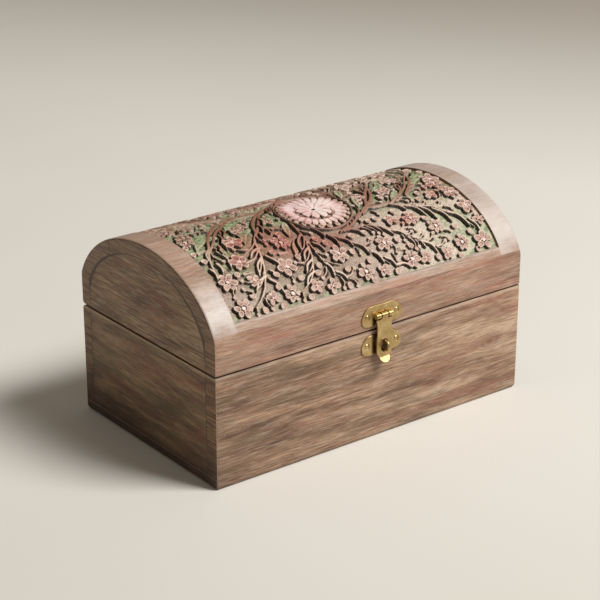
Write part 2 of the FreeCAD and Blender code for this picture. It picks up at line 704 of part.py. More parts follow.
base_nails = base_brads + bottom_brads
nodes = {
    "base_front_board": cut_all(base_front, base_nails),
    "base_back_board": cut_all(base_back, base_nails),
    "base_left_end": cut_all(base_left, base_nails),
    "base_right_end": cut_all(base_right, base_nails),
    "bottom_board": cut_all(bottom, bottom_brads),
    "lid_front_rail": cut_all(lid_front, lid_brads),
    "lid_back_rail": cut_all(lid_back, lid_brads),
    "lid_left_end": cut_all(lid_left, lid_brads),
    "lid_right_end": cut_all(lid_right, lid_brads),
    "lid_crown_front": crown_front,
    "lid_crown_back": crown_back,
    "lid_carving_front": carving_front,
    "lid_carving_back": carving_back,
    "base_corner_brads": Part.makeCompound(base_brads),
    "lid_corner_brads": Part.makeCompound(lid_brads),
    "bottom_brads": Part.makeCompound(bottom_brads),
    "base_hinge_screws": Part.makeCompound(base_screws),
    "lid_hinge_screws": Part.makeCompound(lid_screws),
    "hasp_plate": hasp_plate,
    "hasp_plate_pins": Part.makeCompound(upper_pins),
    "hasp_hinge_pin": hasp_pin,
    "hasp_strap": strap,
    "staple_plate": staple_plate,
    "staple_plate_pins": Part.makeCompound(lower_pins),
    "staple_loop": staple,
}
nodes.update(hinge_nodes)

os.makedirs("parts", exist_ok=True)
for name, shape in nodes.items():
    shape.exportStep("parts/" + name + ".step")
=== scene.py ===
import json
import math
import bpy
import numpy as np
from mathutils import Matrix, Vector


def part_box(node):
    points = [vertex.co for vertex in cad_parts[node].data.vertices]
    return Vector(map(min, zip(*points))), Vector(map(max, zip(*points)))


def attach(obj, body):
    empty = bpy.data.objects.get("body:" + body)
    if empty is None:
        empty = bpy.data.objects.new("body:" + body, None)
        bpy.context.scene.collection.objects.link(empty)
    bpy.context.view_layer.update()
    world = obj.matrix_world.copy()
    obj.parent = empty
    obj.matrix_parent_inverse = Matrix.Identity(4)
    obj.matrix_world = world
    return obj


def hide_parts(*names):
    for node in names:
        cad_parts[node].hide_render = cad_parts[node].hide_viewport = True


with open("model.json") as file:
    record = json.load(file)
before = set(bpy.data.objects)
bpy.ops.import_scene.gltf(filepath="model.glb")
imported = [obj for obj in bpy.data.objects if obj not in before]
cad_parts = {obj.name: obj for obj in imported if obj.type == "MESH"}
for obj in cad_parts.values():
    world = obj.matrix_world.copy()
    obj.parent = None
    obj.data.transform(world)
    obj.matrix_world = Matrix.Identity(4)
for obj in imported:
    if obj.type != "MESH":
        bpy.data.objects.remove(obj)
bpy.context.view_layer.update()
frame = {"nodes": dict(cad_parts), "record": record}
scene = bpy.context.scene

MM = 0.001

# Form of the chest in millimetres, as the solids have it
HALF_LENGTH = 102.5
ARCH_HALF_WIDTH = 64.206
ARCH_RISE = 46.0
ARCH_CENTRE_Z = 67.4
FIELD_HALF_LENGTH = 88.28
FIELD_FRONT_Z = 85.9
FIELD_DEPTH = 3.2
CROWN_JOINT_Y = 32.0
LID_LINE_Z = 62.0
HASP_AXIS = (2.8, -63.95, 69.8)
HASP_HALF_KNUCKLE = 2.3

# Camera fitted to the photograph
CAMERA_PLACE = (-0.5736, -0.74076, 0.43909)
CAMERA_AZIMUTH = -37.62
CAMERA_ELEVATION = 22.13
CAMERA_LENS = 111.594
CAMERA_SENSOR = 36.0

# Studio light and floor
KEY_DIRECTION = (0.353, -0.504, 0.788)
KEY_DISTANCE = 3.0
KEY_SIZE = 1.15
KEY_POWER = 90.0
WORLD_COLOUR = (1.0, 0.9, 0.78, 1.0)
WORLD_STRENGTH = 0.2
FLOOR_REACH = 4.0

# Shading of the floor: the direction it deepens in, where it starts and ends in metres, and its share
FLOOR_SHADES = (
    ((1.006, 0.487, 0.0), 0.4, 1.2, 0.72),
    ((0.610, 0.792, 0.0), 0.12, -0.35, 0.16),
)

# Carving: step of its grid and its levels above the floor of the field, in millimetres
GRID_STEP = 0.25
CLEARANCE = 0.06
LOWEST = 0.08
GROOVE = 1.0
GROUND = 1.7
TOP = 2.95
RISE = TOP - GROUND

# Shares: of the listed widths of stems and cuts, of a cut's length for its bend, of the rise for a leaf
STEM_SHARE = 0.68
CUT_SHARE = 0.65
CUT_BEND = 0.13
LEAF_SHARE = 0.75

# Carved forms in millimetres
CURVE_STEP = 0.3
LIP_HALF_WIDTH = 0.75
LEAF_HALF_WIDTH = 2.3
BUD_RADIUS = 1.8
FLOWER_REACH = 3.4
SMALL_FLOWER_REACH = 2.2
WIDEST_PETAL = 2.1

# Fronds: rounds by spacing and length, and their places ahead and aside of the stem as shares of the length
FROND_ROUNDS = ((3.2, 6.5), (2.6, 4.5))
FROND_BEND = ((0.12, 0.1), (0.55, 0.36), (0.8, 0.85))
FROND_BUD_RADIUS = 1.2

# Stalks: rounds by bare room and size, their places behind and aside of the bud in sizes, and their spread
STALK_ROUNDS = ((2.5, 1.35), (1.8, 1.0))
STALK_BEND = ((5, 1.6), (2.4, 0.9), (0, 0))
STALK_TRIES = 1500
STALK_HALF_SPAN = 84
STALK_MARGIN = 4

# Cuts run this far aside of the fronds and stalks
CUT_ASIDE = 0.9

# Medallion: its place on the unrolled dome, its reach, and its parts from the edge inwards, in millimetres
MEDALLION = (0.0, -7.5)
MEDALLION_REACH = 21.8
MEDALLION_EDGE = 22.2
RING_RADIUS = 21.1
RING_HALF_WIDTH = 0.65
TEETH = 26
TEETH_OUTER = 19.9
TEETH_INNER = 16.5
OUTER_PETALS = 25
OUTER_PETAL_TIP = 18.6
OUTER_PETAL_EDGE = 15.6
OUTER_PETAL_FOOT = 8.0
INNER_PETALS = 10
INNER_PETAL_EDGE = 7.9
HEART_RADIUS = 1.3
SHADOW_LEVEL = GROUND + 0.65
BLOOM_RADIUS = 20

# Where the back half of the layout begins, and the seed of the carving's chance
BACK_HALF_S = MEDALLION[1] + 10
CHANCE_SEED = 7

# Layout on the unrolled dome in millimetres: x along the chest, s round the arch, front negative
# Stems: half width at the start and at the end, and the places they pass
STEMS = [
    (1.7, 1.2, [(0, -32), (5.4, -30.9), (16.6, -24.6), (24, -20.2), (31, -16.5), (37, -10.9), (41, -5.2),
        (46, 6)]),
    (1.5, 0.9, [(27, -19.5), (36, -20.3), (43.5, -20), (50.4, -17), (56, -13.4), (63.5, -7.7), (69, -0.9),
        (78, 9)]),
    (1.2, 0.5, [(40, -20.3), (52, -27.7), (58.5, -29.5), (63.5, -32), (68, -37.5), (74.5, -44.5), (82, -57)]),
    (0.6, 0.4, [(46, -24), (54, -27), (62, -29.6), (70, -28), (78, -25)]),
    (0.6, 0.4, [(62, -31.5), (68, -33.4), (73, -32.5), (78, -29.6)]),
    (1.2, 0.5, [(2, -32), (14.7, -32.7), (21, -35.2), (27, -39.5), (34, -46), (41, -51.7), (52, -59.5),
        (57, -65)]),
    (0.6, 0.4, [(30, -41.2), (35, -42), (40, -41)]),
    (0.6, 0.4, [(41, -51.5), (47, -53.3), (55, -51.5)]),
    (0.6, 0.4, [(49, -58), (55, -60.5), (61, -60.5)]),
    (1.2, 0.5, [(-7, -33.5), (-2, -38), (2, -42.5), (6, -48.5), (11, -54.5), (17, -60), (24, -62.5),
        (31, -63.5)]),
    (0.6, 0.4, [(3, -43.5), (7, -45.3), (11, -46)]),
    (1.6, 0.9, [(-15, -4), (-18.5, -9.5), (-21, -17), (-22, -24), (-22.8, -31)]),
    (0.8, 0.45, [(-22.7, -30), (-27, -36), (-34, -41)]),
    (0.8, 0.45, [(-23.4, -33), (-27, -41), (-32, -45.5), (-38, -48.5)]),
    (0.8, 0.45, [(-24.5, -37), (-28, -46), (-33, -51.5), (-40, -55)]),
    (0.8, 0.45, [(-27, -43.5), (-31, -51.5), (-36, -57), (-43, -61)]),
    (0.9, 0.45, [(-23, -31), (-22.3, -47), (-21.3, -53), (-17, -59), (-13, -61), (-7.5, -63.5)]),
    (0.6, 0.4, [(-22.2, -46.8), (-18, -50.5), (-12.5, -52.8)]),
    (1.6, 0.7, [(-22, 8), (-28, 3.5), (-33, -4), (-39, -11.5), (-49, -22.5), (-52, -31), (-57.7, -45),
        (-66.5, -59.6)]),
    (0.8, 0.45, [(-47.7, -21.7), (-54, -27), (-60.5, -30)]),
    (0.8, 0.45, [(-52, -30), (-57.7, -35), (-64.5, -36.5)]),
    (0.8, 0.45, [(-54, -36), (-60, -44), (-65, -47.5), (-70, -50)]),
    (0.8, 0.45, [(-57.5, -44), (-63.4, -51), (-71, -54.5)]),
    (0.8, 0.45, [(-62, -53), (-67.7, -59), (-73, -62.7)]),
    (1.7, 0.7, [(-56, 3), (-61, -1.5), (-66.5, -6.5), (-71.5, -12.7), (-74.5, -18), (-79, -25), (-82.5, -33),
        (-84, -42)]),
    (1.1, 0.6, [(-54, 0), (-59.5, -5.5), (-63.5, -12), (-65.5, -19), (-67, -25)]),
    (0.7, 0.4, [(-75, -19.5), (-78.2, -29), (-77.5, -38)]),
]
# Leaves: foot, middle and tip
LEAVES = [
    [(-46, 3), (-51.5, -1.5), (-56, -6)], [(-43, -11), (-51, -15), (-55, -23)],
    [(-23, -12), (-26, -18), (-29, -26)], [(-25, -27), (-30, -33), (-34.5, -40)],
    [(62, -3), (71, -5), (77, -2)], [(-70, -10), (-77, -13), (-82, -18)], [(24, -17), (27, -11), (29, -4)],
    [(47, -11), (51, -5), (54, 2)],
]
# Deep cuts: pointed start, round end and half width
CRESCENTS = [
    (40, -22.3, 46.5, -30, 1.3), (48, -26, 54.2, -38, 1.35), (53.5, -28.4, 59, -42, 1.2),
    (61, -33.4, 66.6, -46.3, 0.95), (68.2, -38.4, 75.7, -51.8, 1.2), (77.3, -46.5, 80, -57, 1.0),
    (16.6, -34, 27.3, -44.6, 0.95), (27.9, -40.9, 34.1, -49.6, 1.1), (36, -47.8, 40.7, -57.1, 1.15),
    (41.6, -52.8, 46.6, -61.5, 1.1), (47.6, -57.8, 54.1, -65.3, 1.0), (0.4, -42, 5.4, -52, 1.4),
    (6.6, -49.6, 11, -59, 1.1), (12.6, -55.9, 17.9, -62.8, 1.1), (19, -61.7, 28, -65.6, 0.6),
    (-4, -37, -1, -44.6, 1.1), (5.4, -33.4, 10.6, -39.4, 0.9), (33, -12.7, 36, -5.2, 1.0),
    (39, -6.5, 40.4, 1, 0.9), (58.5, -10.9, 61.6, -4, 0.8), (64, -6.5, 66.6, 1.6, 1.0),
    (70.4, 2.9, 72.2, 7.9, 0.9), (-19.6, -21.5, -12, -33.4, 1.5), (-22, -35, -18.4, -42.7, 1.0),
    (-24.6, -41.5, -24.3, -46.5, 1.0), (-22.7, -49, -22, -58.4, 0.85), (-20, -55.9, -14.6, -62.7, 1.0),
    (-10.3, -32, -8.4, -42, 1.0), (-52.7, -35, -48.4, -50, 1.2), (-55.9, -45, -53.4, -50.9, 1.1),
    (-59.3, -49.6, -54.6, -60, 1.0), (-63.4, -56.5, -64, -61.5, 0.9), (-54, -34, -63, -46.5, 1.0),
    (-58.4, -46, -69, -53.4, 0.9), (-50.5, -27.5, -60, -33, 0.7), (-76.5, -19, -82.7, -27.7, 0.8),
    (-74, -20, -72, -26, 0.9), (-75, -22.7, -74.8, -37.7, 1.1), (-80.6, -31.5, -80.9, -39, 1.0),
    (-86, -34, -86, -42, 0.9), (-67, -12.7, -67.7, -20, 1.0), (-60, -5, -62, -11.5, 0.9),
    (-55, -7, -54, -14, 1.0), (-39, -12.7, -38, -20, 0.9), (-42.7, -16.5, -44, -21, 0.8),
    (-24, -26, -31, -39, 1.0), (-25, -36, -33, -44, 0.7), (-28, -44, -36, -51, 0.7),
    (-31, -51, -40, -58.5, 0.7),
]
FLOWERS = [
    (-80, -2.7), (-61, -19), (-37, -29), (-67, -34.5), (-80.6, -45), (-44, -45.3), (-79.6, -61), (-49, -60.5),
    (-11, -45.9), (-1, -60), (44.8, -35.9), (18.8, -47), (56, -45.3), (66, -58.8), (30, -60.3), (82.6, -6.5),
    (82.6, -24), (83.5, -37), (80.5, -61),
]
SMALL_FLOWERS = [
    (32.6, -33.4), (39, -61.5), (10, -62), (-61, -60), (-33.4, -60), (-24, -62.5), (54, -62.5), (-66, -48),
    (-31, -8), (-47, -7), (70, -22.5), (52, -6), (85, -48),
]
BUDS = [
    (27.6, -47.1), (33.3, -52.8), (47.3, -63.4), (4.4, -54.6), (18.2, -64.6), (12, -37.2), (67.3, -48.4),
    (74.8, -54.3), (52.9, -38.5), (42, -13.4), (46, -9), (64, -17.8), (60.4, -23.4), (72.6, -14), (28, -12.5),
    (19.8, -30.3), (3.2, -37), (25, -29.5), (38.5, -28), (-40, -53.7), (-26, -49.6), (-29, -53.4),
    (-2.7, -47), (-11, -56), (-39, -65), (-68, -65), (-14, -64.8), (-52.3, -48), (-17.7, -32.7), (-14, -37),
    (-34.5, -41.3), (-55, -55), (-71.5, -56), (-34, -22), (-42, -3), (-86, -14), (-86, -21), (-84, -28),
    (62, -66), (75, -65), (-73, -42), (-46, -34), (-57, -66), (2, -66),
]

# Patches of stain on the front half of the carving: share, x, s, reach in x, reach in s
GREEN_PATCHES = [
    (1.0, -72, -10, 22, 26), (0.5, -45, -3, 25, 12), (0.45, 66, -6, 26, 16), (0.4, 25, -12, 22, 10),
    (0.5, 82, -60, 10, 10), (0.35, 68, -42, 26, 22), (0.15, -45, -58, 40, 14),
]
RED_PATCHES = [
    (0.9, -10, -36, 20, 8), (0.9, 40, -35, 13, 6), (0.85, -57, -26, 22, 16), (0.75, -33, -26, 15, 14),
    (0.75, 76, -18, 16, 12),
]
PALE_PATCHES = [(0.4, -70, -60, 25, 10)]


def srgb(red, green, blue):
    """Linear colour of an 8-bit display colour."""
    return tuple(((c / 255 + 0.055) / 1.055) ** 2.4 for c in (red, green, blue)) + (1.0,)


# Stains of the boards: dark, middle, light, red, olive, pale wash, end grain
BOARD_TONES = (srgb(104, 76, 58), srgb(164, 128, 101), srgb(210, 178, 148), srgb(162, 101, 82),
               srgb(114, 93, 68), srgb(224, 202, 182), srgb(98, 70, 52))
RAIL_TONES = (srgb(124, 90, 72), srgb(174, 134, 110), srgb(200, 164, 138), srgb(180, 118, 100),
              srgb(150, 122, 98), srgb(222, 202, 188), srgb(104, 78, 60))
CROWN_TONES = (srgb(150, 118, 98), srgb(184, 150, 127), srgb(206, 178, 156), srgb(196, 138, 116),
               srgb(164, 140, 114), srgb(212, 196, 186), srgb(106, 80, 62))
END_TONES = (srgb(76, 51, 33), srgb(136, 103, 72), srgb(178, 144, 104), srgb(138, 74, 48),
             srgb(106, 97, 58), srgb(204, 182, 150), srgb(84, 58, 38))
# White of the rims' wash and painted sheen, and of the sill's painted highlight
WHITE_WASH_AND_HIGHLIGHT = srgb(212, 206, 200)
# Darkening at the foot: grime and painted shade
FOOT_GRIME_AND_SHADE = srgb(40, 24, 16)
GLUE = srgb(40, 26, 18)
# Painted shade of the seam between lid and base
LID_SEAM_SHADE = srgb(44, 24, 18)
GRAIN_SHIFT = (0.37, 0.91, 0.53)
OLIVE_SHIFT = (0.7, 0.4, 0.9)
FIBRE_SHADES = [(0.32, (0.5, 0.5, 0.5, 1)), (0.48, (0.9, 0.9, 0.9, 1)), (0.64, (1, 1, 1, 1))]

# Knot in the front board: its place and its reach each way, in millimetres
KNOT_PLACE = (81, -61.75, 33.4)
KNOT_SIZE = (9, 30, 5)

# Stains of the carving, from the darker or redder tone to the paler one
DUSK = (srgb(100, 76, 60), srgb(178, 149, 128))
SAGE = (srgb(172, 152, 132), srgb(230, 214, 196))
MOSS = (srgb(90, 114, 74), srgb(172, 182, 138))
RUST = (srgb(128, 66, 52), srgb(182, 112, 94))
BARK = (srgb(142, 76, 58), srgb(216, 180, 160))
CUP = (srgb(142, 103, 87), srgb(190, 152, 134))
PETAL = (srgb(200, 156, 143), srgb(234, 206, 193))
BLOOM = (srgb(200, 138, 138), srgb(222, 180, 174))
BLOOM_EDGE = (srgb(232, 198, 192), srgb(244, 228, 220))
CREST_LIGHT = srgb(232, 210, 188)
WARM_LIGHT = srgb(216, 152, 132)
WARM_PETAL = srgb(190, 104, 88)
WARM_CUP = srgb(142, 70, 56)
# Dark of the cuts: stain and painted shade
CUT_STAIN_AND_SHADE = srgb(26, 17, 10)
LEAFY_CUT_STAIN_AND_SHADE = srgb(32, 36, 20)

# Metals and floor
BRASS_SHIFT = (0.11, 0.23, 0.31)
BRASS_TONES = [(0.3, srgb(168, 140, 92)), (0.55, srgb(198, 171, 120)), (0.75, srgb(220, 198, 152))]
BRASS_SPECK = srgb(104, 82, 50)
# Dark of the knuckle joints and of the painted shade behind the hasp's strap
BRASS_JOINT_AND_SHADE = srgb(40, 28, 14)
STEEL_TONES = [(0.3, srgb(74, 60, 48)), (0.7, srgb(128, 104, 84))]
FLOOR_TONES = [(0.3, srgb(231, 227, 217)), (0.7, srgb(234, 230, 221))]
FLOOR_SHADE = srgb(150, 138, 122)


class Surface:
    """One node material, with short calls for the nodes it is made of; places are in metres."""

    def __init__(self, name):
        self.material = bpy.data.materials.new(name)
        self.material.use_nodes = True
        self.tree = self.material.node_tree
        self.shader = self.tree.nodes["Principled BSDF"]
        self.place = self.node("TexCoord").outputs["Object"]

    def node(self, kind, **settings):
        node = self.tree.nodes.new("ShaderNode" + kind)
        for key, value in settings.items():
            setattr(node, key, value)
        return node

    def feed(self, socket, value):
        """Link a socket to another or set its value."""
        if isinstance(value, bpy.types.NodeSocket):
            self.tree.links.new(value, socket)
        else:
            socket.default_value = value

    def pair(self, kind, operation, a, b):
        node = self.node(kind, operation=operation)
        self.feed(node.inputs[0], a)
        self.feed(node.inputs[1], b)
        return node

    def math(self, operation, a, b=0.0):
        return self.pair("Math", operation, a, b).outputs[0]

    def plus(self, a, b):
        return self.math("ADD", a, b)

    def minus(self, a, b):
        return self.math("SUBTRACT", a, b)

    def times(self, a, b):
        return self.math("MULTIPLY", a, b)

    def absolute(self, a):
        return self.math("ABSOLUTE", a)

    def vector(self, operation, a, b):
        return self.pair("VectorMath", operation, a, b).outputs[0]

    def measure(self, operation, a, b=(0.0, 0.0, 0.0)):
        """One number from vectors: a length or a dot product."""
        return self.pair("VectorMath", operation, a, b).outputs["Value"]

    def offset(self, place):
        """Distance each way from a place given in millimetres."""
        return self.vector("SUBTRACT", self.place, [value * MM for value in place])

    def cells(self, vector, sizes):
        """Coordinates counted in cells of the given sizes in millimetres."""
        return self.vector("MULTIPLY", vector, [1 / (size * MM) for size in sizes])

    def noise(self, vector, sizes, detail=3.0, roughness=0.55, output="Fac"):
        """Noise with cells of the given sizes in millimetres."""
        node = self.node("TexNoise")
        self.feed(node.inputs["Vector"], self.cells(vector, sizes))
        for key, value in (("Scale", 1.0), ("Detail", detail), ("Roughness", roughness)):
            node.inputs[key].default_value = value
        return node.outputs[output]

    def band(self, value, low, high):
        """Smooth step from 0 at low to 1 at high."""
        node = self.node("MapRange", interpolation_type="SMOOTHSTEP")
        self.feed(node.inputs["Value"], value)
        node.inputs["From Min"].default_value = low
        node.inputs["From Max"].default_value = high
        return node.outputs["Result"]

    def near(self, value, centre, outer, inner):
        """Smooth line: 1 within inner of the centre, 0 beyond outer."""
        return self.band(self.absolute(self.minus(value, centre)), outer, inner)

    def mix(self, factor, a, b, blend="MIX"):
        """Mix of two colours; 6 and 7 are the node's colour sockets."""
        node = self.node("Mix", data_type="RGBA", blend_type=blend)
        self.feed(node.inputs[0], factor)
        self.feed(node.inputs[6], a)
        self.feed(node.inputs[7], b)
        return node.outputs[2]

    def tint(self, colour, stain, mask, share):
        """Colour with a share of a stain laid over it inside a mask."""
        return self.mix(self.times(mask, share), colour, stain)

    def ramp(self, factor, stops):
        node = self.node("ValToRGB")
        self.feed(node.inputs["Fac"], factor)
        elements = node.color_ramp.elements
        while len(elements) < len(stops):
            elements.new(0.5)
        for element, (place, colour) in zip(elements, stops):
            element.position = place
            element.color = colour
        return node.outputs["Color"]

    def axis(self, vector, name):
        node = self.node("SeparateXYZ")
        self.feed(node.inputs[0], vector)
        return node.outputs[name]

    def attribute(self, name):
        return self.node("Attribute", attribute_name=name).outputs["Fac"]

    def bump(self, height, strength, distance):
        """Bump of a height, its distance in millimetres."""
        node = self.node("Bump")
        node.inputs["Strength"].default_value = strength
        node.inputs["Distance"].default_value = distance * MM
        self.feed(node.inputs["Height"], height)
        self.feed(self.shader.inputs["Normal"], node.outputs["Normal"])

    def finish(self, colour, roughness, metallic=0.0):
        self.feed(self.shader.inputs["Base Color"], colour)
        self.feed(self.shader.inputs["Roughness"], roughness)
        self.shader.inputs["Metallic"].default_value = metallic
        return self.material


def wood(node, tones, wash, along="X", roughness=0.5, lean=0.0, foot=0.0, knot=False, crown=False,
         seam=False, like=None):
    """Stained wood: streaks and pores along one axis, red and olive stain, pale wash, dark foot and cut ends.

    wash and foot are the shares of the pale wash and of the grime and painted shade at the foot, and lean is
    how much redder a board grows to the right and how much paler there, the paler part painted light.
    A board like another continues its grain.
    """
    s = Surface(node + "_wood")
    dark, middle, light, red, olive, pale, end = tones
    seed = sorted(frame["nodes"]).index(like or node)

    def sizes(length, width):
        return (length, width, width) if along == "X" else (width, length, width)

    place = s.vector("ADD", s.place, [seed * shift for shift in GRAIN_SHIFT])
    if knot:
        offset = s.offset(KNOT_PLACE)
        reach = s.measure("LENGTH", s.cells(offset, KNOT_SIZE))
        pull = s.times(s.band(reach, 1.6, 0.0), -0.55)
        place = s.vector("ADD", place, s.vector("MULTIPLY", offset, pull))
    sway = s.vector("SUBTRACT", s.noise(place, sizes(60, 20), 2.0, output="Color"), (0.5, 0.5, 0.5))
    grain = s.vector("ADD", place, s.vector("MULTIPLY", sway, sizes(0.0, 3 * MM)))
    broad = s.noise(grain, sizes(50, 8), 3.0, 0.6)
    streaks = s.noise(grain, sizes(18, 0.65), 4.0, 0.66)
    fibre = s.noise(grain, sizes(9, 0.42), 3.0, 0.7)
    pores = s.band(s.noise(grain, sizes(4, 0.35), 1.0), 0.58, 0.7)
    specks = s.band(s.noise(place, sizes(1.6, 1.0), 1.0), 0.76, 0.82)
    worn = s.band(s.noise(grain, sizes(16, 1.3), 4.0, 0.66), 0.46, 0.68)
    along_chest = s.times(s.axis(s.place, "X"), lean)
    reddish = s.plus(s.noise(grain, sizes(38, 8), 2.0), along_chest)
    mossy = s.minus(s.noise(s.vector("ADD", grain, OLIVE_SHIFT), sizes(40, 8), 2.0), along_chest)
    mixed = s.times(s.plus(streaks, broad), 0.5)
    # Painted light: the board grows paler towards the right, the key light's side
    mixed = s.plus(mixed, s.times(along_chest, 0.8))

    colour = s.ramp(mixed, [(0.37, dark), (0.5, middle), (0.62, light)])
    colour = s.tint(colour, red, s.band(reddish, 0.5, 0.7), share=0.45)
    colour = s.tint(colour, olive, s.band(mossy, 0.5, 0.68), share=0.6)
    colour = s.tint(colour, pale, worn, share=wash)
    colour = s.mix(0.85, colour, s.ramp(fibre, FIBRE_SHADES), "MULTIPLY")
    colour = s.tint(colour, dark, pores, share=0.4)
    colour = s.tint(colour, pale, specks, share=0.6)
    if knot:
        heart = s.band(reach, 0.4, 0.1)
        ring = s.near(reach, 0.62, 0.16, 0.04)
        colour = s.tint(colour, dark, s.math("MAXIMUM", heart, s.times(ring, 0.5)), share=0.5)
    # Darker towards the foot: grime and painted shade
    low = s.band(s.plus(s.axis(s.place, "Z"), s.times(broad, 0.03)), 0.058, 0.012)
    colour = s.tint(colour, FOOT_GRIME_AND_SHADE, low, share=foot)
    if seam:
        colour = s.tint(colour, GLUE, joint_line(s, node), share=0.75)
    if along == "X":
        normal = s.node("TexCoord").outputs["Normal"]
        cut_end = s.band(s.absolute(s.axis(normal, "X")), 0.55, 0.85)
        edge = s.band(s.absolute(s.axis(s.place, "X")), (HALF_LENGTH - 1) * MM, HALF_LENGTH * MM)
        colour = s.tint(colour, pale, edge, share=0.6)
        colour = s.mix(cut_end, colour, end_grain(s, end, low, crown))
    # White wash with painted sheen on the rims, and a painted highlight along the sill
    if crown:
        wash_and_highlight = s.times(rim_wash_and_highlight(s), s.minus(1.0, cut_end))
        wash_and_highlight = s.times(wash_and_highlight, s.band(s.axis(normal, "Z"), -0.1, 0.1))
        colour = s.mix(wash_and_highlight, colour, s.mix(s.band(fibre, 0.35, 0.6), pale, WHITE_WASH_AND_HIGHLIGHT))

    # Painted highlight on the edge just below the lid's line, and painted shade in the seam at the line
    above = s.minus(s.axis(s.place, "Z"), LID_LINE_Z * MM)
    colour = s.tint(colour, pale, s.near(above, -0.0013, 0.0009, 0.0003), share=0.3)
    colour = s.tint(colour, LID_SEAM_SHADE, s.near(above, 0.0, 0.0007, 0.0002), share=0.8)

    s.bump(s.minus(s.plus(fibre, s.times(streaks, 0.6)), pores), strength=0.35, distance=0.1)
    return s.finish(colour, s.plus(s.times(fibre, 0.24), roughness - 0.12))


def end_grain(s, stain, low, glued):
    """Rings on a cut end, dark at the foot with grime and painted shade, and the glue line of the crown's two
    boards.
    """
    dark, middle, light = END_TONES[:3]
    rings = s.noise(s.place, (40, 14, 0.8), 4.0, 0.66)
    colour = s.ramp(rings, [(0.36, dark), (0.5, middle), (0.64, light)])
    colour = s.mix(0.35, colour, stain)
    # Grime and painted shade towards the foot
    colour = s.tint(colour, FOOT_GRIME_AND_SHADE, low, share=0.85)
    if glued:
        line = s.near(s.axis(s.place, "Y"), CROWN_JOINT_Y * MM, 0.0005, 0.0002)
        colour = s.tint(colour, GLUE, line, share=0.75)
    return colour


def joint_line(s, node):
    """Dark glue line where an end panel meets the boards at its two sides and, in the lid, at its arch."""
    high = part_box(node)[1]
    across = s.math("DIVIDE", s.axis(s.place, "Y"), high[1])
    above = s.math("MAXIMUM", s.minus(s.axis(s.place, "Z"), ARCH_CENTRE_Z * MM), 0.0)
    rise = s.math("DIVIDE", above, max(high[2] - ARCH_CENTRE_Z * MM, ARCH_RISE * MM / 2))
    reach = s.plus(s.times(across, across), s.times(rise, rise))
    return s.band(reach, 0.972, 0.99)


def rim_wash_and_highlight(s):
    """White wash and painted sheen on the rims: left one's low half, most of the right; painted highlight on
    the sill.
    """
    x = s.axis(s.place, "X")
    z = s.axis(s.place, "Z")
    cloud = s.times(s.minus(s.noise(s.place, (14, 14, 14)), 0.5), 0.03)
    height = s.plus(z, cloud)
    # White wash with painted sheen on the low half of the left rim and most of the right one
    left_edge = s.plus(x, s.times(cloud, 0.12))
    left = s.times(s.band(left_edge, -0.0872, -0.0888), s.band(height, 0.104, 0.09))
    right = s.times(s.band(x, 0.0875, 0.0885), s.band(height, 0.13, 0.096))
    rims = s.times(s.times(s.plus(left, right), s.band(height, 0.077, 0.091)), 0.75)
    # Painted highlight along the sill below the carved field
    sill = s.band(s.plus(z, s.times(cloud, 0.15)), 0.0848, 0.0859)
    sill = s.times(sill, s.band(s.absolute(x), 0.0885, 0.0875))
    return s.math("MAXIMUM", rims, s.times(sill, 0.35))


def hasp_joints_and_shade(s):
    """Dark joints between the knuckles, and painted shade on the plates behind the strap."""
    offset = s.offset(HASP_AXIS)
    aside = s.absolute(s.axis(offset, "X"))
    barrel = s.band(s.measure("LENGTH", s.vector("MULTIPLY", offset, (0.0, 1.0, 1.0))), 0.0019, 0.0016)
    joint = s.near(aside, HASP_HALF_KNUCKLE * MM, 0.0005, 0.0002)
    # Painted shade on the plates behind the strap, below the hasp's axis
    shade_behind = s.times(s.band(aside, 0.0074, 0.0058), s.band(s.axis(offset, "Y"), 0.0006, 0.0009))
    shade_behind = s.times(shade_behind, s.band(s.axis(offset, "Z"), 0.0, -0.0012))
    return s.math("MAXIMUM", s.times(joint, barrel), s.times(shade_behind, 0.75))


def brass(name, joints_and_shade=None):
    """Rolled brass: warm metal, faint rubbing marks, darker tarnish and, where given, joints and painted
    shade.
    """
    s = Surface(name)
    place = s.vector("ADD", s.place, BRASS_SHIFT)
    cloud = s.noise(place, (6, 6, 6), 4.0, 0.6)
    speck = s.band(s.noise(place, (0.9, 0.9, 0.9), 2.0), 0.6, 0.75)
    rubbed = s.noise(place, (0.3, 3, 5))
    colour = s.tint(s.ramp(cloud, BRASS_TONES), BRASS_SPECK, speck, share=0.4)
    # Dark joints and painted shade, where given
    if joints_and_shade:
        colour = s.tint(colour, BRASS_JOINT_AND_SHADE, joints_and_shade(s), share=0.9)
    roughness = s.plus(s.plus(s.times(cloud, 0.16), s.times(rubbed, 0.06)), 0.27)
    return s.finish(colour, roughness, metallic=1.0)


def steel(name):
    """Dull nail heads, stained by the wood's finish."""
    s = Surface(name)
    cloud = s.noise(s.place, (0.8, 0.8, 0.8))
    s.bump(cloud, strength=0.3, distance=0.05)
    return s.finish(s.ramp(cloud, STEEL_TONES), s.plus(s.times(cloud, 0.3), 0.35), metallic=0.6)


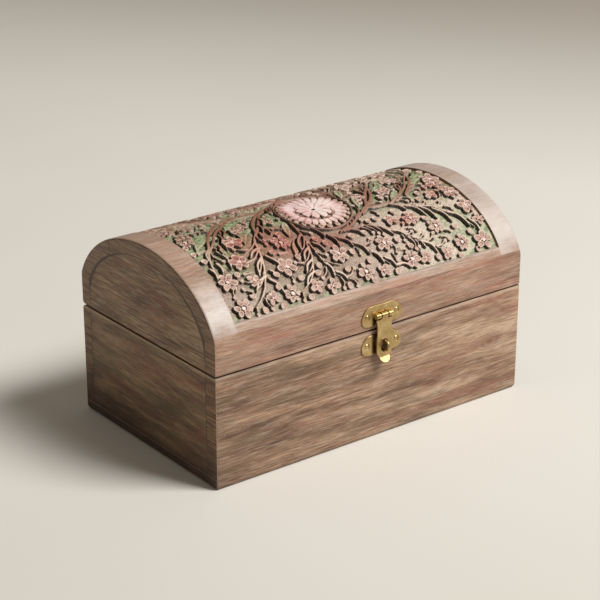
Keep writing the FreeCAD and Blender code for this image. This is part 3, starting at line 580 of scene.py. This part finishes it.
def carving_stain_and_shade(name):
    """Stain and painted shade of the carved field, led by the height, kind and place of each carved form."""
    s = Surface(name)
    rise, hollow, crest, pink, stem, green, red, pale, fade, bloom = [s.attribute(key) for key in fields]
    fine = s.noise(s.place, (0.5, 0.5, 0.5), 2.0, 0.6)
    patch = s.noise(s.place, (9, 9, 9))
    small = s.noise(s.place, (2.2, 2.2, 2.2))
    uneven = s.times(s.minus(patch, 0.5), 1.3)
    flecked = s.band(fine, 0.36, 0.62)
    mottled = s.band(small, 0.36, 0.64)
    flush = s.band(patch, 0.36, 0.6)
    leafy = s.band(s.plus(green, uneven), 0.2, 0.8)
    warm = s.band(s.plus(red, uneven), 0.3, 0.95)

    # Ground, leaves and stems
    colour = s.mix(pale, s.mix(flecked, *DUSK), s.mix(flecked, *SAGE))
    colour = s.tint(colour, s.mix(mottled, *MOSS), leafy, share=0.8)
    colour = s.tint(colour, s.mix(mottled, *RUST), warm, share=0.52)
    colour = s.tint(colour, s.mix(fade, *BARK), stem, share=0.85)

    # Cups, petals and the medallion's bloom, by how pink a place is
    cup = s.tint(s.mix(mottled, *CUP), WARM_CUP, warm, share=0.6)
    petal = s.tint(s.mix(mottled, *PETAL), WARM_PETAL, warm, share=0.75)
    petal = s.mix(bloom, petal, s.mix(flush, *BLOOM))
    colour = s.mix(s.band(pink, 0.06, 0.16), colour, cup)
    colour = s.mix(s.band(pink, 0.28, 0.5), colour, petal)
    colour = s.mix(s.band(pink, 0.6, 0.95), colour, s.mix(flush, *BLOOM_EDGE))

    # Rubbed crests, and dark cuts: stain with painted shade, darkest on the shaded side of each form
    deep_stem = s.times(stem, s.minus(1.0, fade))
    shine = s.times(s.band(crest, 0.1, 0.8), s.minus(0.5, s.times(deep_stem, 0.4)))
    colour = s.mix(shine, colour, s.mix(warm, CREST_LIGHT, WARM_LIGHT))
    cut = s.band(hollow, 0.12, 0.6)
    colour = s.tint(colour, s.mix(leafy, CUT_STAIN_AND_SHADE, LEAFY_CUT_STAIN_AND_SHADE), cut, share=0.95)
    grit = s.times(s.plus(fine, s.times(small, 0.6)), s.minus(1.0, cut))
    s.bump(grit, strength=0.45, distance=0.15)
    return s.finish(colour, s.minus(0.74, s.times(rise, 0.32)))


def floor_finish():
    """Pale seamless surface, darker towards the far right and a little towards the near side."""
    s = Surface("pale_surface")
    colour = s.ramp(s.noise(s.place, (300, 300, 300), 2.0), FLOOR_TONES)
    for direction, start, end, share in FLOOR_SHADES:
        shade = s.band(s.measure("DOT_PRODUCT", s.place, direction), start, end)
        colour = s.tint(colour, FLOOR_SHADE, shade, share)
    s.shader.inputs["Specular IOR Level"].default_value = 0.2
    return s.finish(colour, 0.8)


def sampled(points):
    """Even points along a smooth curve through the given ones."""
    p = np.array(points, float)
    p = np.vstack([2 * p[0] - p[1], p, 2 * p[-1] - p[-2]])
    out = []
    for a, b, c, d in zip(p, p[1:], p[2:], p[3:]):
        count = max(3, int(np.hypot(*(c - b)) / CURVE_STEP))
        t = np.linspace(0, 1, count, endpoint=False)[:, None]
        out.append(0.5 * (2 * b + (c - a) * t + (2 * a - 5 * b + 4 * c - d) * t ** 2
                          + (3 * b - a - 3 * c + d) * t ** 3))
    return np.vstack(out + [p[-2:-1]])


def step_up(value, width):
    """0 below zero, 1 above width, smooth between."""
    t = np.clip(value / width, 0, 1)
    return t * t * (3 - 2 * t)


def slope_up(value, start, width):
    """0 below start, 1 above start + width, straight between."""
    return np.clip((value - start) / width, 0, 1)


class Relief:
    """Height field of the carving with the masks that its stain follows."""

    def __init__(self, half_length, half_girth):
        self.x = np.linspace(-half_length, half_length, int(2 * half_length / GRID_STEP) + 1)
        self.s = np.linspace(-half_girth, half_girth, int(2 * half_girth / GRID_STEP) + 1)
        shape = (len(self.s), len(self.x))
        self.height = np.full(shape, GROUND)
        self.stem, self.pink, self.leafy = np.zeros((3, *shape))

    def window(self, points, reach):
        """Part of the grid within reach of some points, with its x and s."""
        low = points.min(axis=0) - reach
        high = points.max(axis=0) + reach
        i = np.searchsorted(self.s, (low[1], high[1]))
        j = np.searchsorted(self.x, (low[0], high[0]))
        part = (slice(i[0], i[1]), slice(j[0], j[1]))
        return part, self.x[part[1]][None, :], self.s[part[0]][:, None]

    def near(self, curve, reach):
        """Distance to a curve and the place along it, inside a window round it."""
        part, x, s = self.window(curve, reach)
        best = np.full((s.shape[0], x.shape[1]), np.inf)
        place = np.zeros_like(best)
        for k, (px, ps) in enumerate(curve):
            d = (x - px) ** 2 + (s - ps) ** 2
            closer = d < best
            best[closer] = d[closer]
            place[closer] = k / (len(curve) - 1)
        return part, np.sqrt(best), place

    def ridge(self, points, start, end, rise=0.95):
        """Flat-topped band with strands along it, tapering from start to end half width."""
        part, d, t = self.near(sampled(points), 4.0)
        half = (start + (end - start) * t) * (0.4 + 0.6 * step_up(1 - t, 0.15))
        half *= 0.5 + 0.5 * step_up(t, 0.06)
        wall = step_up(half + 0.15 - d, 0.35)
        dome = 0.86 + 0.14 * np.sqrt(np.clip(1 - (d / (half + 0.15)) ** 2, 0, 1))
        strand = 0.1 * np.cos(2 * np.pi * d / 0.95) * (half > 0.9)
        level = GROUND + RISE * rise * wall * (dome + strand)
        self.height[part] = np.maximum(self.height[part], level)
        self.stem[part] = np.maximum(self.stem[part], wall)

    def leaf(self, points):
        """Pointed blade, widest in its middle, with a shallow vein."""
        part, d, t = self.near(sampled(points), LEAF_HALF_WIDTH + 1)
        half = LEAF_HALF_WIDTH * np.sin(np.pi * np.clip(t, 0.02, 0.98)) ** 0.7
        wall = step_up(half - d, 0.45)
        vein = 0.25 * step_up(0.45 - d, 0.4)
        level = GROUND + RISE * LEAF_SHARE * wall * (1 - vein)
        self.height[part] = np.maximum(self.height[part], level)
        self.leafy[part] = np.maximum(self.leafy[part], wall)

    def groove(self, points, width):
        """Deep comma-shaped cut, pointed at its start and round at its end."""
        part, d, t = self.near(sampled(points), 4.0)
        half = width * np.clip(step_up(t + 0.05, 0.45), 0.15, 1)
        cut = step_up(half + 0.2 - d, 0.45)
        self.height[part] += (GROOVE - self.height[part]) * cut
        self.stem[part] *= 1 - 0.5 * cut

    def boss(self, x0, s0, radius, top, dish, pink, turn=0.0, stretch=1.0):
        """Round or oval form, drawn out along turn, with a raised rim and a dished middle."""
        part, x, s = self.window(np.array([[x0, s0]]), radius * stretch + 1)
        along = (x - x0) * math.cos(turn) + (s - s0) * math.sin(turn)
        across = (s - s0) * math.cos(turn) - (x - x0) * math.sin(turn)
        r = np.hypot(along / stretch, across)
        wall = step_up(radius - r, 0.3)
        hollow = dish * step_up(radius * 0.74 - r, 0.4)
        level = GROUND + (top - GROUND - hollow) * wall
        crease = 0.4 * step_up(radius + 0.25 - r, 0.3) * (self.pink[part] > 0.05)
        self.height[part] = np.maximum(self.height[part] - crease, GROUND)
        raised = (level > self.height[part]) | (wall > 0.5)
        self.height[part] = np.where(raised, level, self.height[part])
        tint = pink * wall * (1 - 0.65 * hollow / dish) if dish else pink * wall
        self.pink[part] = np.where(raised, tint, self.pink[part])
        self.stem[part] *= 1 - wall

    def flower(self, x0, s0, turn, petals, reach):
        """Ring of oval, dished petals of uneven size on a raised bed, round a raised heart."""
        self.boss(x0, s0, reach, top=GROUND + 0.7 * RISE, dish=0.0, pink=0.3)
        for k in range(petals):
            a = turn + 2 * math.pi * k / petals + chance.uniform(-0.16, 0.16)
            far = reach * chance.uniform(0.9, 1.1)
            radius = min(math.pi * reach / petals, WIDEST_PETAL) * chance.uniform(0.9, 1.15)
            lean = a + chance.uniform(-0.35, 0.35)
            stretch = chance.uniform(1.1, 1.45)
            x = x0 + far * math.cos(a)
            s = s0 + far * math.sin(a)
            self.boss(x, s, radius, top=TOP, dish=0.4, pink=0.55, turn=lean, stretch=stretch)
        self.boss(x0, s0, reach * 0.4, top=TOP - 0.05, dish=0.0, pink=0.8)

    def medallion(self, x0, s0):
        """Large flower of two rings of flat petals inside a toothed ring."""
        part, x, s = self.window(np.array([[x0, s0]]), MEDALLION_EDGE + 1)
        r = np.hypot(x - x0, s - s0)
        a = np.arctan2(s - s0, x - x0)

        # Ring and teeth
        ring = step_up(RING_HALF_WIDTH - np.abs(r - RING_RADIUS), 0.4)
        scallop = np.cos(TEETH * a + 1.5 * np.sin(2 * a))
        tooth = step_up(scallop + 0.7, 0.5) * step_up(TEETH_OUTER + 0.6 * scallop - r, 0.4)
        tooth *= step_up(r - TEETH_INNER, 0.5)
        height = np.maximum(GROUND - 0.35, GROUND + (RISE - 0.1) * ring)
        height = np.maximum(height, GROUND + (RISE - 0.35) * tooth)

        # Outer petals of uneven length
        uneven = chance.uniform(-0.9, 0.7, OUTER_PETALS)
        count = np.floor(OUTER_PETALS * a / (2 * np.pi)).astype(int) % OUTER_PETALS
        fold = np.abs(np.sin(OUTER_PETALS * a / 2))
        edge = OUTER_PETAL_EDGE + uneven[count] + 2.9 * fold ** 0.6
        blade = step_up(edge - r, 0.45) * step_up(r - OUTER_PETAL_FOOT, 0.8)
        flat = step_up(fold, 0.6)
        level = GROUND + RISE * blade * (0.5 + 0.25 * flat + 0.25 * step_up(r - OUTER_PETAL_FOOT, 9))
        height = np.maximum(height, level)
        pink = np.maximum(0.2 * tooth, blade * (0.45 + 0.5 * flat * step_up(OUTER_PETAL_TIP - r, 5)))

        # Shadow round the inner petals, wide and notched on one side
        fold = np.abs(np.cos(INNER_PETALS * (a + 0.15) / 2))
        edge = INNER_PETAL_EDGE + 2.4 * fold ** 0.6
        shaded = step_up(0.5 + np.cos(a + 2.0), 1.2)
        between = step_up(edge + (0.3 + 3.2 * shaded) * (1 - 0.35 * fold) - r, 0.4)
        notch = between * shaded * step_up(0.35 - fold, 0.3)
        sunk = between * (0.3 + 0.7 * shaded)
        height -= (height - SHADOW_LEVEL) * sunk + (SHADOW_LEVEL - GROOVE) * notch
        pink += (0.15 - pink) * sunk

        # Inner petals and heart
        blade = step_up(edge - r, 0.45)
        flat = step_up(fold, 0.55)
        level = GROUND + RISE * blade * (0.5 + 0.15 * flat + 0.35 * step_up(r - 1, 6))
        height = np.where(blade > 0.5, level, np.maximum(height, level))
        pink = np.where(blade > 0.5, 0.4 + 0.6 * flat, pink)
        heart = step_up(HEART_RADIUS - r, 0.5)
        height += (GROUND - 0.6 - height) * heart
        pink *= 1 - 0.8 * heart

        inside = step_up(MEDALLION_EDGE - r, 0.4)
        for field, values in ((self.height, height), (self.pink, pink), (self.stem, ring)):
            field[part] += (values - field[part]) * inside


def smoothed(field, cells):
    """Field averaged over a square of cells each way, twice over."""
    span = 2 * cells + 1
    for axis in (0, 1, 0, 1):
        count = field.shape[axis]
        margins = [(cells, cells) if k == axis else (0, 0) for k in (0, 1)]
        total = np.cumsum(np.pad(field, margins, mode="edge"), axis)
        total = np.insert(total, 0, 0, axis)
        upper = np.take(total, range(span, span + count), axis)
        field = (upper - np.take(total, range(count), axis)) / span
    return field


def arc_table():
    """Ellipse angle against distance round the dome from its crown."""
    t = np.linspace(0, 1.4, 4001)
    speed = np.hypot(ARCH_HALF_WIDTH * np.cos(t), ARCH_RISE * np.sin(t))
    s = np.concatenate([[0], np.cumsum((speed[1:] + speed[:-1]) / 2 * np.diff(t))])
    return t, s


arc_t, arc_s = arc_table()
edge_angle = math.acos((FIELD_FRONT_Z - ARCH_CENTRE_Z) / ARCH_RISE)
half_girth = float(np.interp(edge_angle, arc_t, arc_s))
relief = Relief(FIELD_HALF_LENGTH, half_girth)
chance = np.random.default_rng(CHANCE_SEED)


def front_place(x, s):
    """The layout as it is listed."""
    return x, s


def back_place(x, s):
    """The same layout turned half round the medallion and fitted to the back edge."""
    turned = 2 * MEDALLION[1] - s
    near = MEDALLION[1] + MEDALLION_REACH
    far = 2 * MEDALLION[1] + half_girth
    if turned > near:
        turned = near + (turned - near) * (half_girth - near) / (far - near)
    return -x, turned


def crescent(x0, s0, x1, s1, side):
    """Three places along a bent stroke, shifted sideways."""
    length = math.hypot(x1 - x0, s1 - s0)
    across = np.array([s0 - s1, x1 - x0]) / length
    bend = CUT_BEND if x1 > x0 - 1 else -CUT_BEND
    middle = np.array([(x0 + x1) / 2, (s0 + s1) / 2]) + across * bend * length
    return [tuple(point + across * side) for point in (np.array([x0, s0]), middle, np.array([x1, s1]))]


def is_bare(x, s, room):
    """Whether a place lies inside the field with nothing carved round it yet."""
    if abs(x) > FIELD_HALF_LENGTH - room or abs(s) > half_girth - room:
        return False
    part, _, _ = relief.window(np.array([[x, s]]), room)
    return np.abs(relief.height[part] - GROUND).max() < 0.05


def fronds(points, spacing, length):
    """Curved blades off both sides of a stem, each with a cut and a bud, where the ground is still bare."""
    curve = sampled(points)
    ways = np.gradient(curve, axis=0)
    run = np.concatenate([[0], np.cumsum(np.hypot(*np.diff(curve, axis=0).T))])
    side = 1
    for distance in np.arange(spacing, run[-1], spacing):
        i = int(np.searchsorted(run, distance))
        ahead = ways[i] / np.hypot(*ways[i])
        left = np.array([-ahead[1], ahead[0]])
        for aside in (left * side, -left * side):
            reach = length * chance.uniform(0.8, 1.2)
            blade = [curve[i] + (ahead * a + aside * b) * reach for a, b in FROND_BEND]
            if is_bare(*blade[1], room=0.9) and is_bare(*blade[2], room=1.3):
                relief.ridge(blade, start=0.5, end=0.55)
                relief.groove([point + (ahead * 0.5 - aside) * CUT_ASIDE for point in blade], width=0.65)
                relief.boss(*blade[2], FROND_BUD_RADIUS, top=TOP - 0.15, dish=0.35, pink=0.45,
                            turn=chance.uniform(0, 3), stretch=1.2)
        side = -side


def stalks(room, size):
    """Small buds on short bent stalks, each beside a cut, wherever the ground is still bare."""
    span_s = half_girth - STALK_MARGIN
    all_x = chance.uniform(-STALK_HALF_SPAN, STALK_HALF_SPAN, STALK_TRIES)
    all_s = chance.uniform(-span_s, span_s, STALK_TRIES)
    for x, s in zip(all_x, all_s):
        away = np.array([x - MEDALLION[0], s - MEDALLION[1]])
        if not is_bare(x, s, room) or np.hypot(*away) < MEDALLION_REACH + 3:
            continue
        turn = math.atan2(away[1], away[0]) + chance.uniform(-0.6, 0.6)
        ahead = np.array([math.cos(turn), math.sin(turn)])
        aside = np.array([-ahead[1], ahead[0]]) * chance.choice([-1, 1])
        end = np.array([x, s]) + ahead * size
        stalk = [end - ahead * a * size + aside * b * size for a, b in STALK_BEND]
        relief.ridge(stalk, start=0.3, end=0.45, rise=0.85)
        cut = stalk[:2] + [end - ahead * size]
        relief.groove([point - aside * CUT_ASIDE for point in cut], width=0.55)
        relief.boss(*end, size, top=TOP - 0.2, dish=0.4, pink=0.5, turn=turn, stretch=1.3)


# Listed forms of both halves, then fronds and stalks on the ground left bare, then the medallion
for place in (front_place, back_place):
    for points in LEAVES:
        relief.leaf([place(*point) for point in points])
    for *stroke, width in CRESCENTS:
        points = crescent(*stroke, width * CUT_SHARE + LIP_HALF_WIDTH)
        relief.ridge([place(*point) for point in points], LIP_HALF_WIDTH, end=0.6, rise=1.0)
    for start, end, points in STEMS:
        relief.ridge([place(*point) for point in points], start * STEM_SHARE, end * STEM_SHARE)
    for *stroke, width in CRESCENTS:
        relief.groove([place(*point) for point in crescent(*stroke, 0)], width * CUT_SHARE)
    for x, s in BUDS:
        relief.boss(*place(x, s), BUD_RADIUS, top=TOP - 0.1, dish=0.45, pink=0.5,
                    turn=chance.uniform(0, 3), stretch=1.2)
    for x, s in SMALL_FLOWERS:
        relief.flower(*place(x, s), chance.uniform(0, 1.5), 4, SMALL_FLOWER_REACH)
    for x, s in FLOWERS:
        relief.flower(*place(x, s), chance.uniform(0, 1.0), int(chance.integers(5, 8)), FLOWER_REACH)
for place in (front_place, back_place):
    for _, _, points in STEMS:
        for spacing, length in FROND_ROUNDS:
            fronds([place(*point) for point in points], spacing, length)
for room, size in STALK_ROUNDS:
    stalks(room, size)
relief.medallion(*MEDALLION)

# Places on the grid, and the same places turned on to the front half
grid_x, grid_s = np.meshgrid(relief.x, relief.s)
at_back = grid_s > BACK_HALF_S
half_x = np.where(at_back, -grid_x, grid_x)
half_s = np.where(at_back, 2 * MEDALLION[1] - grid_s, grid_s)


def shifted(field, cells_s, cells_x):
    """Field moved to the front left, and on the back half to the back right."""
    backward = np.roll(field, (cells_s, cells_x), axis=(0, 1))
    return np.where(at_back, backward, np.roll(field, (-cells_s, -cells_x), axis=(0, 1)))


def patches(table):
    """Soft patches of stain, at the same places of both halves of the field."""
    return sum(share * np.exp(-((half_x - x) / reach_x) ** 2 - ((half_s - s) / reach_s) ** 2)
               for share, x, s, reach_x, reach_s in table)


# Gouge cuts on the shaded side of every form, and a stippled ground
raised = slope_up(relief.height, GROUND, RISE)
shade = np.maximum(shifted(smoothed(raised, 2), 1, 3), 0.5 * smoothed(raised, 3))
stipple = chance.uniform(-1, 1, raised.shape)
carved = relief.height - np.clip(shade - raised, 0, 1)
carved += 0.3 * smoothed(stipple, 1) * (1 - raised) + 0.02 * stipple
carved = np.clip(carved, LOWEST, FIELD_DEPTH - CLEARANCE)

# Dark cuts, stain with painted shade on the shaded side of forms, and where the stain is rubbed off the
# crests
level = smoothed(carved, 7)
# Painted shade: places lower than their neighbours on the lit side, and walls facing away from the light
beside = np.maximum(shifted(carved, 0, 1), shifted(carved, 0, 2))
lean_s, lean_x = np.gradient(carved, GRID_STEP)
dark_side = np.where(at_back, -lean_x - 0.4 * lean_s, lean_x + 0.4 * lean_s)
hollow = np.maximum(slope_up(level - carved, 0.15, 0.9), slope_up(beside - carved, 0.75, 0.6))
hollow = np.maximum(hollow, slope_up(dark_side, 1.7, 1.6))
crest = slope_up(carved - level, 0.0, 0.7)

# Where the stain is green, red, pale or faded, and the plainer far side of the dome
from_medallion = np.hypot(grid_x - MEDALLION[0], grid_s - MEDALLION[1])
near_edge = slope_up(np.abs(grid_s), half_girth - 4, 4)
far_side = slope_up(grid_s, -16, 10) * np.maximum(slope_up(-grid_x, -12, 30), 0.1)
green = 0.2 + 0.5 * relief.leafy + 0.5 * near_edge + 0.4 * far_side + patches(GREEN_PATCHES)
red = patches(RED_PATCHES) * np.where(at_back, 0.4, 1)
pale = slope_up(half_x, -15, 60) * slope_up(-half_s, 6, 25) + patches(PALE_PATCHES)
fade = slope_up(from_medallion, 25, 26) * slope_up(-half_s, 14, 20)
bloom = from_medallion < BLOOM_RADIUS

# In the order in which the carving's stain and painted shade take them
fields = {
    "rise": carved / FIELD_DEPTH,
    "hollow": hollow,
    "crest": crest * (1 - 0.7 * far_side),
    "pink": relief.pink * np.where(bloom, 1, 1 - 0.5 * far_side),
    "stem": relief.stem,
    "green": green,
    "red": red,
    "pale": pale,
    "fade": fade * (1 - 0.7 * far_side),
    "bloom": bloom.astype(float),
}
fields = {key: np.clip(values, 0, 1) for key, values in fields.items()}


def dome_point(x, s, height):
    """Places in metres of points of the unrolled dome at a height above the floor of the field."""
    t = np.sign(s) * np.interp(np.abs(s), arc_s, arc_t)
    normal = np.stack([np.sin(t) / ARCH_HALF_WIDTH, np.cos(t) / ARCH_RISE])
    normal /= np.hypot(*normal)
    depth = FIELD_DEPTH - height
    y = ARCH_HALF_WIDTH * np.sin(t) - normal[0] * depth
    z = ARCH_CENTRE_Z + ARCH_RISE * np.cos(t) - normal[1] * depth
    return np.stack([x, y, z], axis=-1) * MM


def closed_grid(count_s, count_x):
    """Edge of a grid of points in order, the grid's own quads, and the faces that close it underneath.

    The points under the edge are numbered on from the grid's. The underside is strips between two end faces.
    """
    number = np.arange(count_s * count_x).reshape(count_s, count_x)
    edge = np.concatenate([number[0, :-1], number[:-1, -1], number[-1, :0:-1], number[:0:-1, 0]])
    quads = [number[:-1, :-1], number[:-1, 1:], number[1:, 1:], number[1:, :-1]]
    quads = np.stack(quads, axis=-1).reshape(-1, 4)
    under = np.arange(len(edge)) + number.size
    sides = np.stack([np.roll(edge, -1), edge, under, np.roll(under, -1)], axis=-1)
    front = under[:count_x]
    right = under[count_x - 1:count_x - 1 + count_s]
    back = under[count_x + count_s - 2:2 * count_x + count_s - 2]
    left = np.concatenate([under[2 * count_x + count_s - 3:], under[:1]])[::-1]
    strips = np.stack([left[1:-2], left[2:-1], right[2:-1], right[1:-2]], axis=-1)
    first = np.concatenate([front[::-1], left[1:2], right[1:2]])
    last = np.concatenate([back[::-1], right[-2:-1], left[-2:-1]])
    return edge, quads, [*sides, *strips, first, last]


def added(name, data):
    """New object in the scene."""
    thing = bpy.data.objects.new(name, data)
    scene.collection.objects.link(thing)
    return thing


def carving_piece(name, rows, columns, material):
    """Closed piece of the carving: relief above, plain sides and a plain underside."""
    x = grid_x[rows, columns]
    s = grid_s[rows, columns]
    edge, quads, closing = closed_grid(*x.shape)
    top = dome_point(x, s, carved[rows, columns]).reshape(-1, 3)
    foot = dome_point(x, s, CLEARANCE).reshape(-1, 3)[edge]
    points = np.vstack([top, foot])
    corners = np.concatenate([quads.ravel(), *closing])
    sizes = np.array([4] * len(quads) + [len(face) for face in closing])
    mesh = bpy.data.meshes.new(name)
    mesh.vertices.add(len(points))
    mesh.vertices.foreach_set("co", points.ravel())
    mesh.loops.add(len(corners))
    mesh.loops.foreach_set("vertex_index", corners.astype(np.int32))
    mesh.polygons.add(len(sizes))
    mesh.polygons.foreach_set("loop_start", (np.cumsum(sizes) - sizes).astype(np.int32))
    mesh.polygons.foreach_set("use_smooth", np.arange(len(sizes)) < len(quads))
    mesh.update(calc_edges=True)
    for key, values in fields.items():
        data = values[rows, columns].ravel()
        data = np.concatenate([data, data[edge]]).astype(np.float32)
        mesh.attributes.new(key, "FLOAT", "POINT").data.foreach_set("value", data)
    flat = np.stack([x, s], axis=-1).reshape(-1, 2)
    flat = np.vstack([flat, flat[edge]])
    flat = (flat - flat.min(axis=0)) / np.ptp(flat, axis=0)
    layer = mesh.uv_layers.new(name="OFBake")
    layer.data.foreach_set("uv", flat[corners].ravel().astype(np.float32))
    mesh.validate()
    mesh.materials.append(material)
    piece = added(name, mesh)
    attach(piece, "lid")
    return piece


# Carving in six pieces: three along the chest on each of the crown's two boards
# Stain and painted shade of the carving
stain = carving_stain_and_shade("carving_stain_and_shade")
joint_s = float(np.interp(math.asin(CROWN_JOINT_Y / ARCH_HALF_WIDTH), arc_t, arc_s))
joint_row = int(np.searchsorted(relief.s, joint_s))
third = len(relief.x) // 3
spans = {
    "left": slice(0, third + 1),
    "middle": slice(third, 2 * third + 1),
    "right": slice(2 * third, None),
}
for side, columns in spans.items():
    front = carving_piece("carving_front_" + side, slice(0, joint_row + 1), columns, stain)
    back = carving_piece("carving_back_" + side, slice(joint_row, None), columns, stain)
    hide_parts("lid_carving_front")
    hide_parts("lid_carving_back")

# Finishes of the boards and fittings
# foot is the share of grime and painted shade at the foot
base_board = dict(tones=BOARD_TONES, wash=0.3, roughness=0.55)
rail = dict(tones=RAIL_TONES, wash=0.25)
crown_board = dict(tones=CROWN_TONES, wash=0.3, roughness=0.42, crown=True)
base_end = dict(tones=END_TONES, wash=0.12, along="Y", foot=0.85, seam=True)
lid_end = dict(tones=END_TONES, wash=0.5, along="Y", seam=True)
boards = {
    "base_front_board": dict(base_board, lean=0.7, foot=0.16, knot=True),
    "base_back_board": base_board,
    "bottom_board": dict(base_board, lean=0.7, foot=0.16, like="base_front_board"),
    "lid_front_rail": rail,
    "lid_back_rail": rail,
    "lid_crown_front": crown_board,
    "lid_crown_back": crown_board,
    "base_left_end": base_end,
    "base_right_end": base_end,
    "lid_left_end": lid_end,
    "lid_right_end": lid_end,
}
finishes = {node: wood(node, **settings) for node, settings in boards.items()}
# Hasp brass with dark joints and painted shade behind the strap
hasp_brass = brass("hasp_brass", hasp_joints_and_shade)
finishes.update({node: hasp_brass for node in ("hasp_plate", "hasp_strap", "staple_plate")})
slot_finishes = {"brass": brass("rolled_brass"), "nail_steel": steel("dull_steel"), "carved_wood": stain}
for part in frame["record"]["subparts"]:
    node = frame["nodes"][part["node"]]
    node.data.materials.clear()
    node.data.materials.append(finishes.get(part["node"]) or slot_finishes[part["material_slot"]])

# Studio: floor, key light, surrounding light and camera
floor_corners = [(x * FLOOR_REACH, y * FLOOR_REACH, 0) for x, y in ((-1, -1), (1, -1), (1, 1), (-1, 1))]
floor_mesh = bpy.data.meshes.new("studio_floor")
floor_mesh.from_pydata(floor_corners, [], [(0, 1, 2, 3)])
floor_mesh.materials.append(floor_finish())
floor = added("studio_floor", floor_mesh)

key_data = bpy.data.lights.new("key", "AREA")
key_data.energy = KEY_POWER
key_data.size = KEY_SIZE
key = added("key", key_data)
key.location = Vector(KEY_DIRECTION) * KEY_DISTANCE
key.rotation_mode = "QUATERNION"
key.rotation_quaternion = Vector(KEY_DIRECTION).to_track_quat("Z", "Y")

world = bpy.data.worlds.new("studio")
world.use_nodes = True
background = world.node_tree.nodes["Background"]
background.inputs["Color"].default_value = WORLD_COLOUR
background.inputs["Strength"].default_value = WORLD_STRENGTH
scene.world = world

camera_data = bpy.data.cameras.new("camera")
camera_data.lens = CAMERA_LENS
camera_data.sensor_width = CAMERA_SENSOR
camera = added("camera", camera_data)
azimuth = math.radians(CAMERA_AZIMUTH)
elevation = math.radians(CAMERA_ELEVATION)
across = math.cos(elevation)
to_camera = Vector((math.sin(azimuth) * across, -math.cos(azimuth) * across, math.sin(elevation)))
camera.location = CAMERA_PLACE
camera.rotation_mode = "QUATERNION"
camera.rotation_quaternion = (-to_camera).to_track_quat("-Z", "Y")
scene.camera = camera
scene.view_settings.view_transform = "Standard"
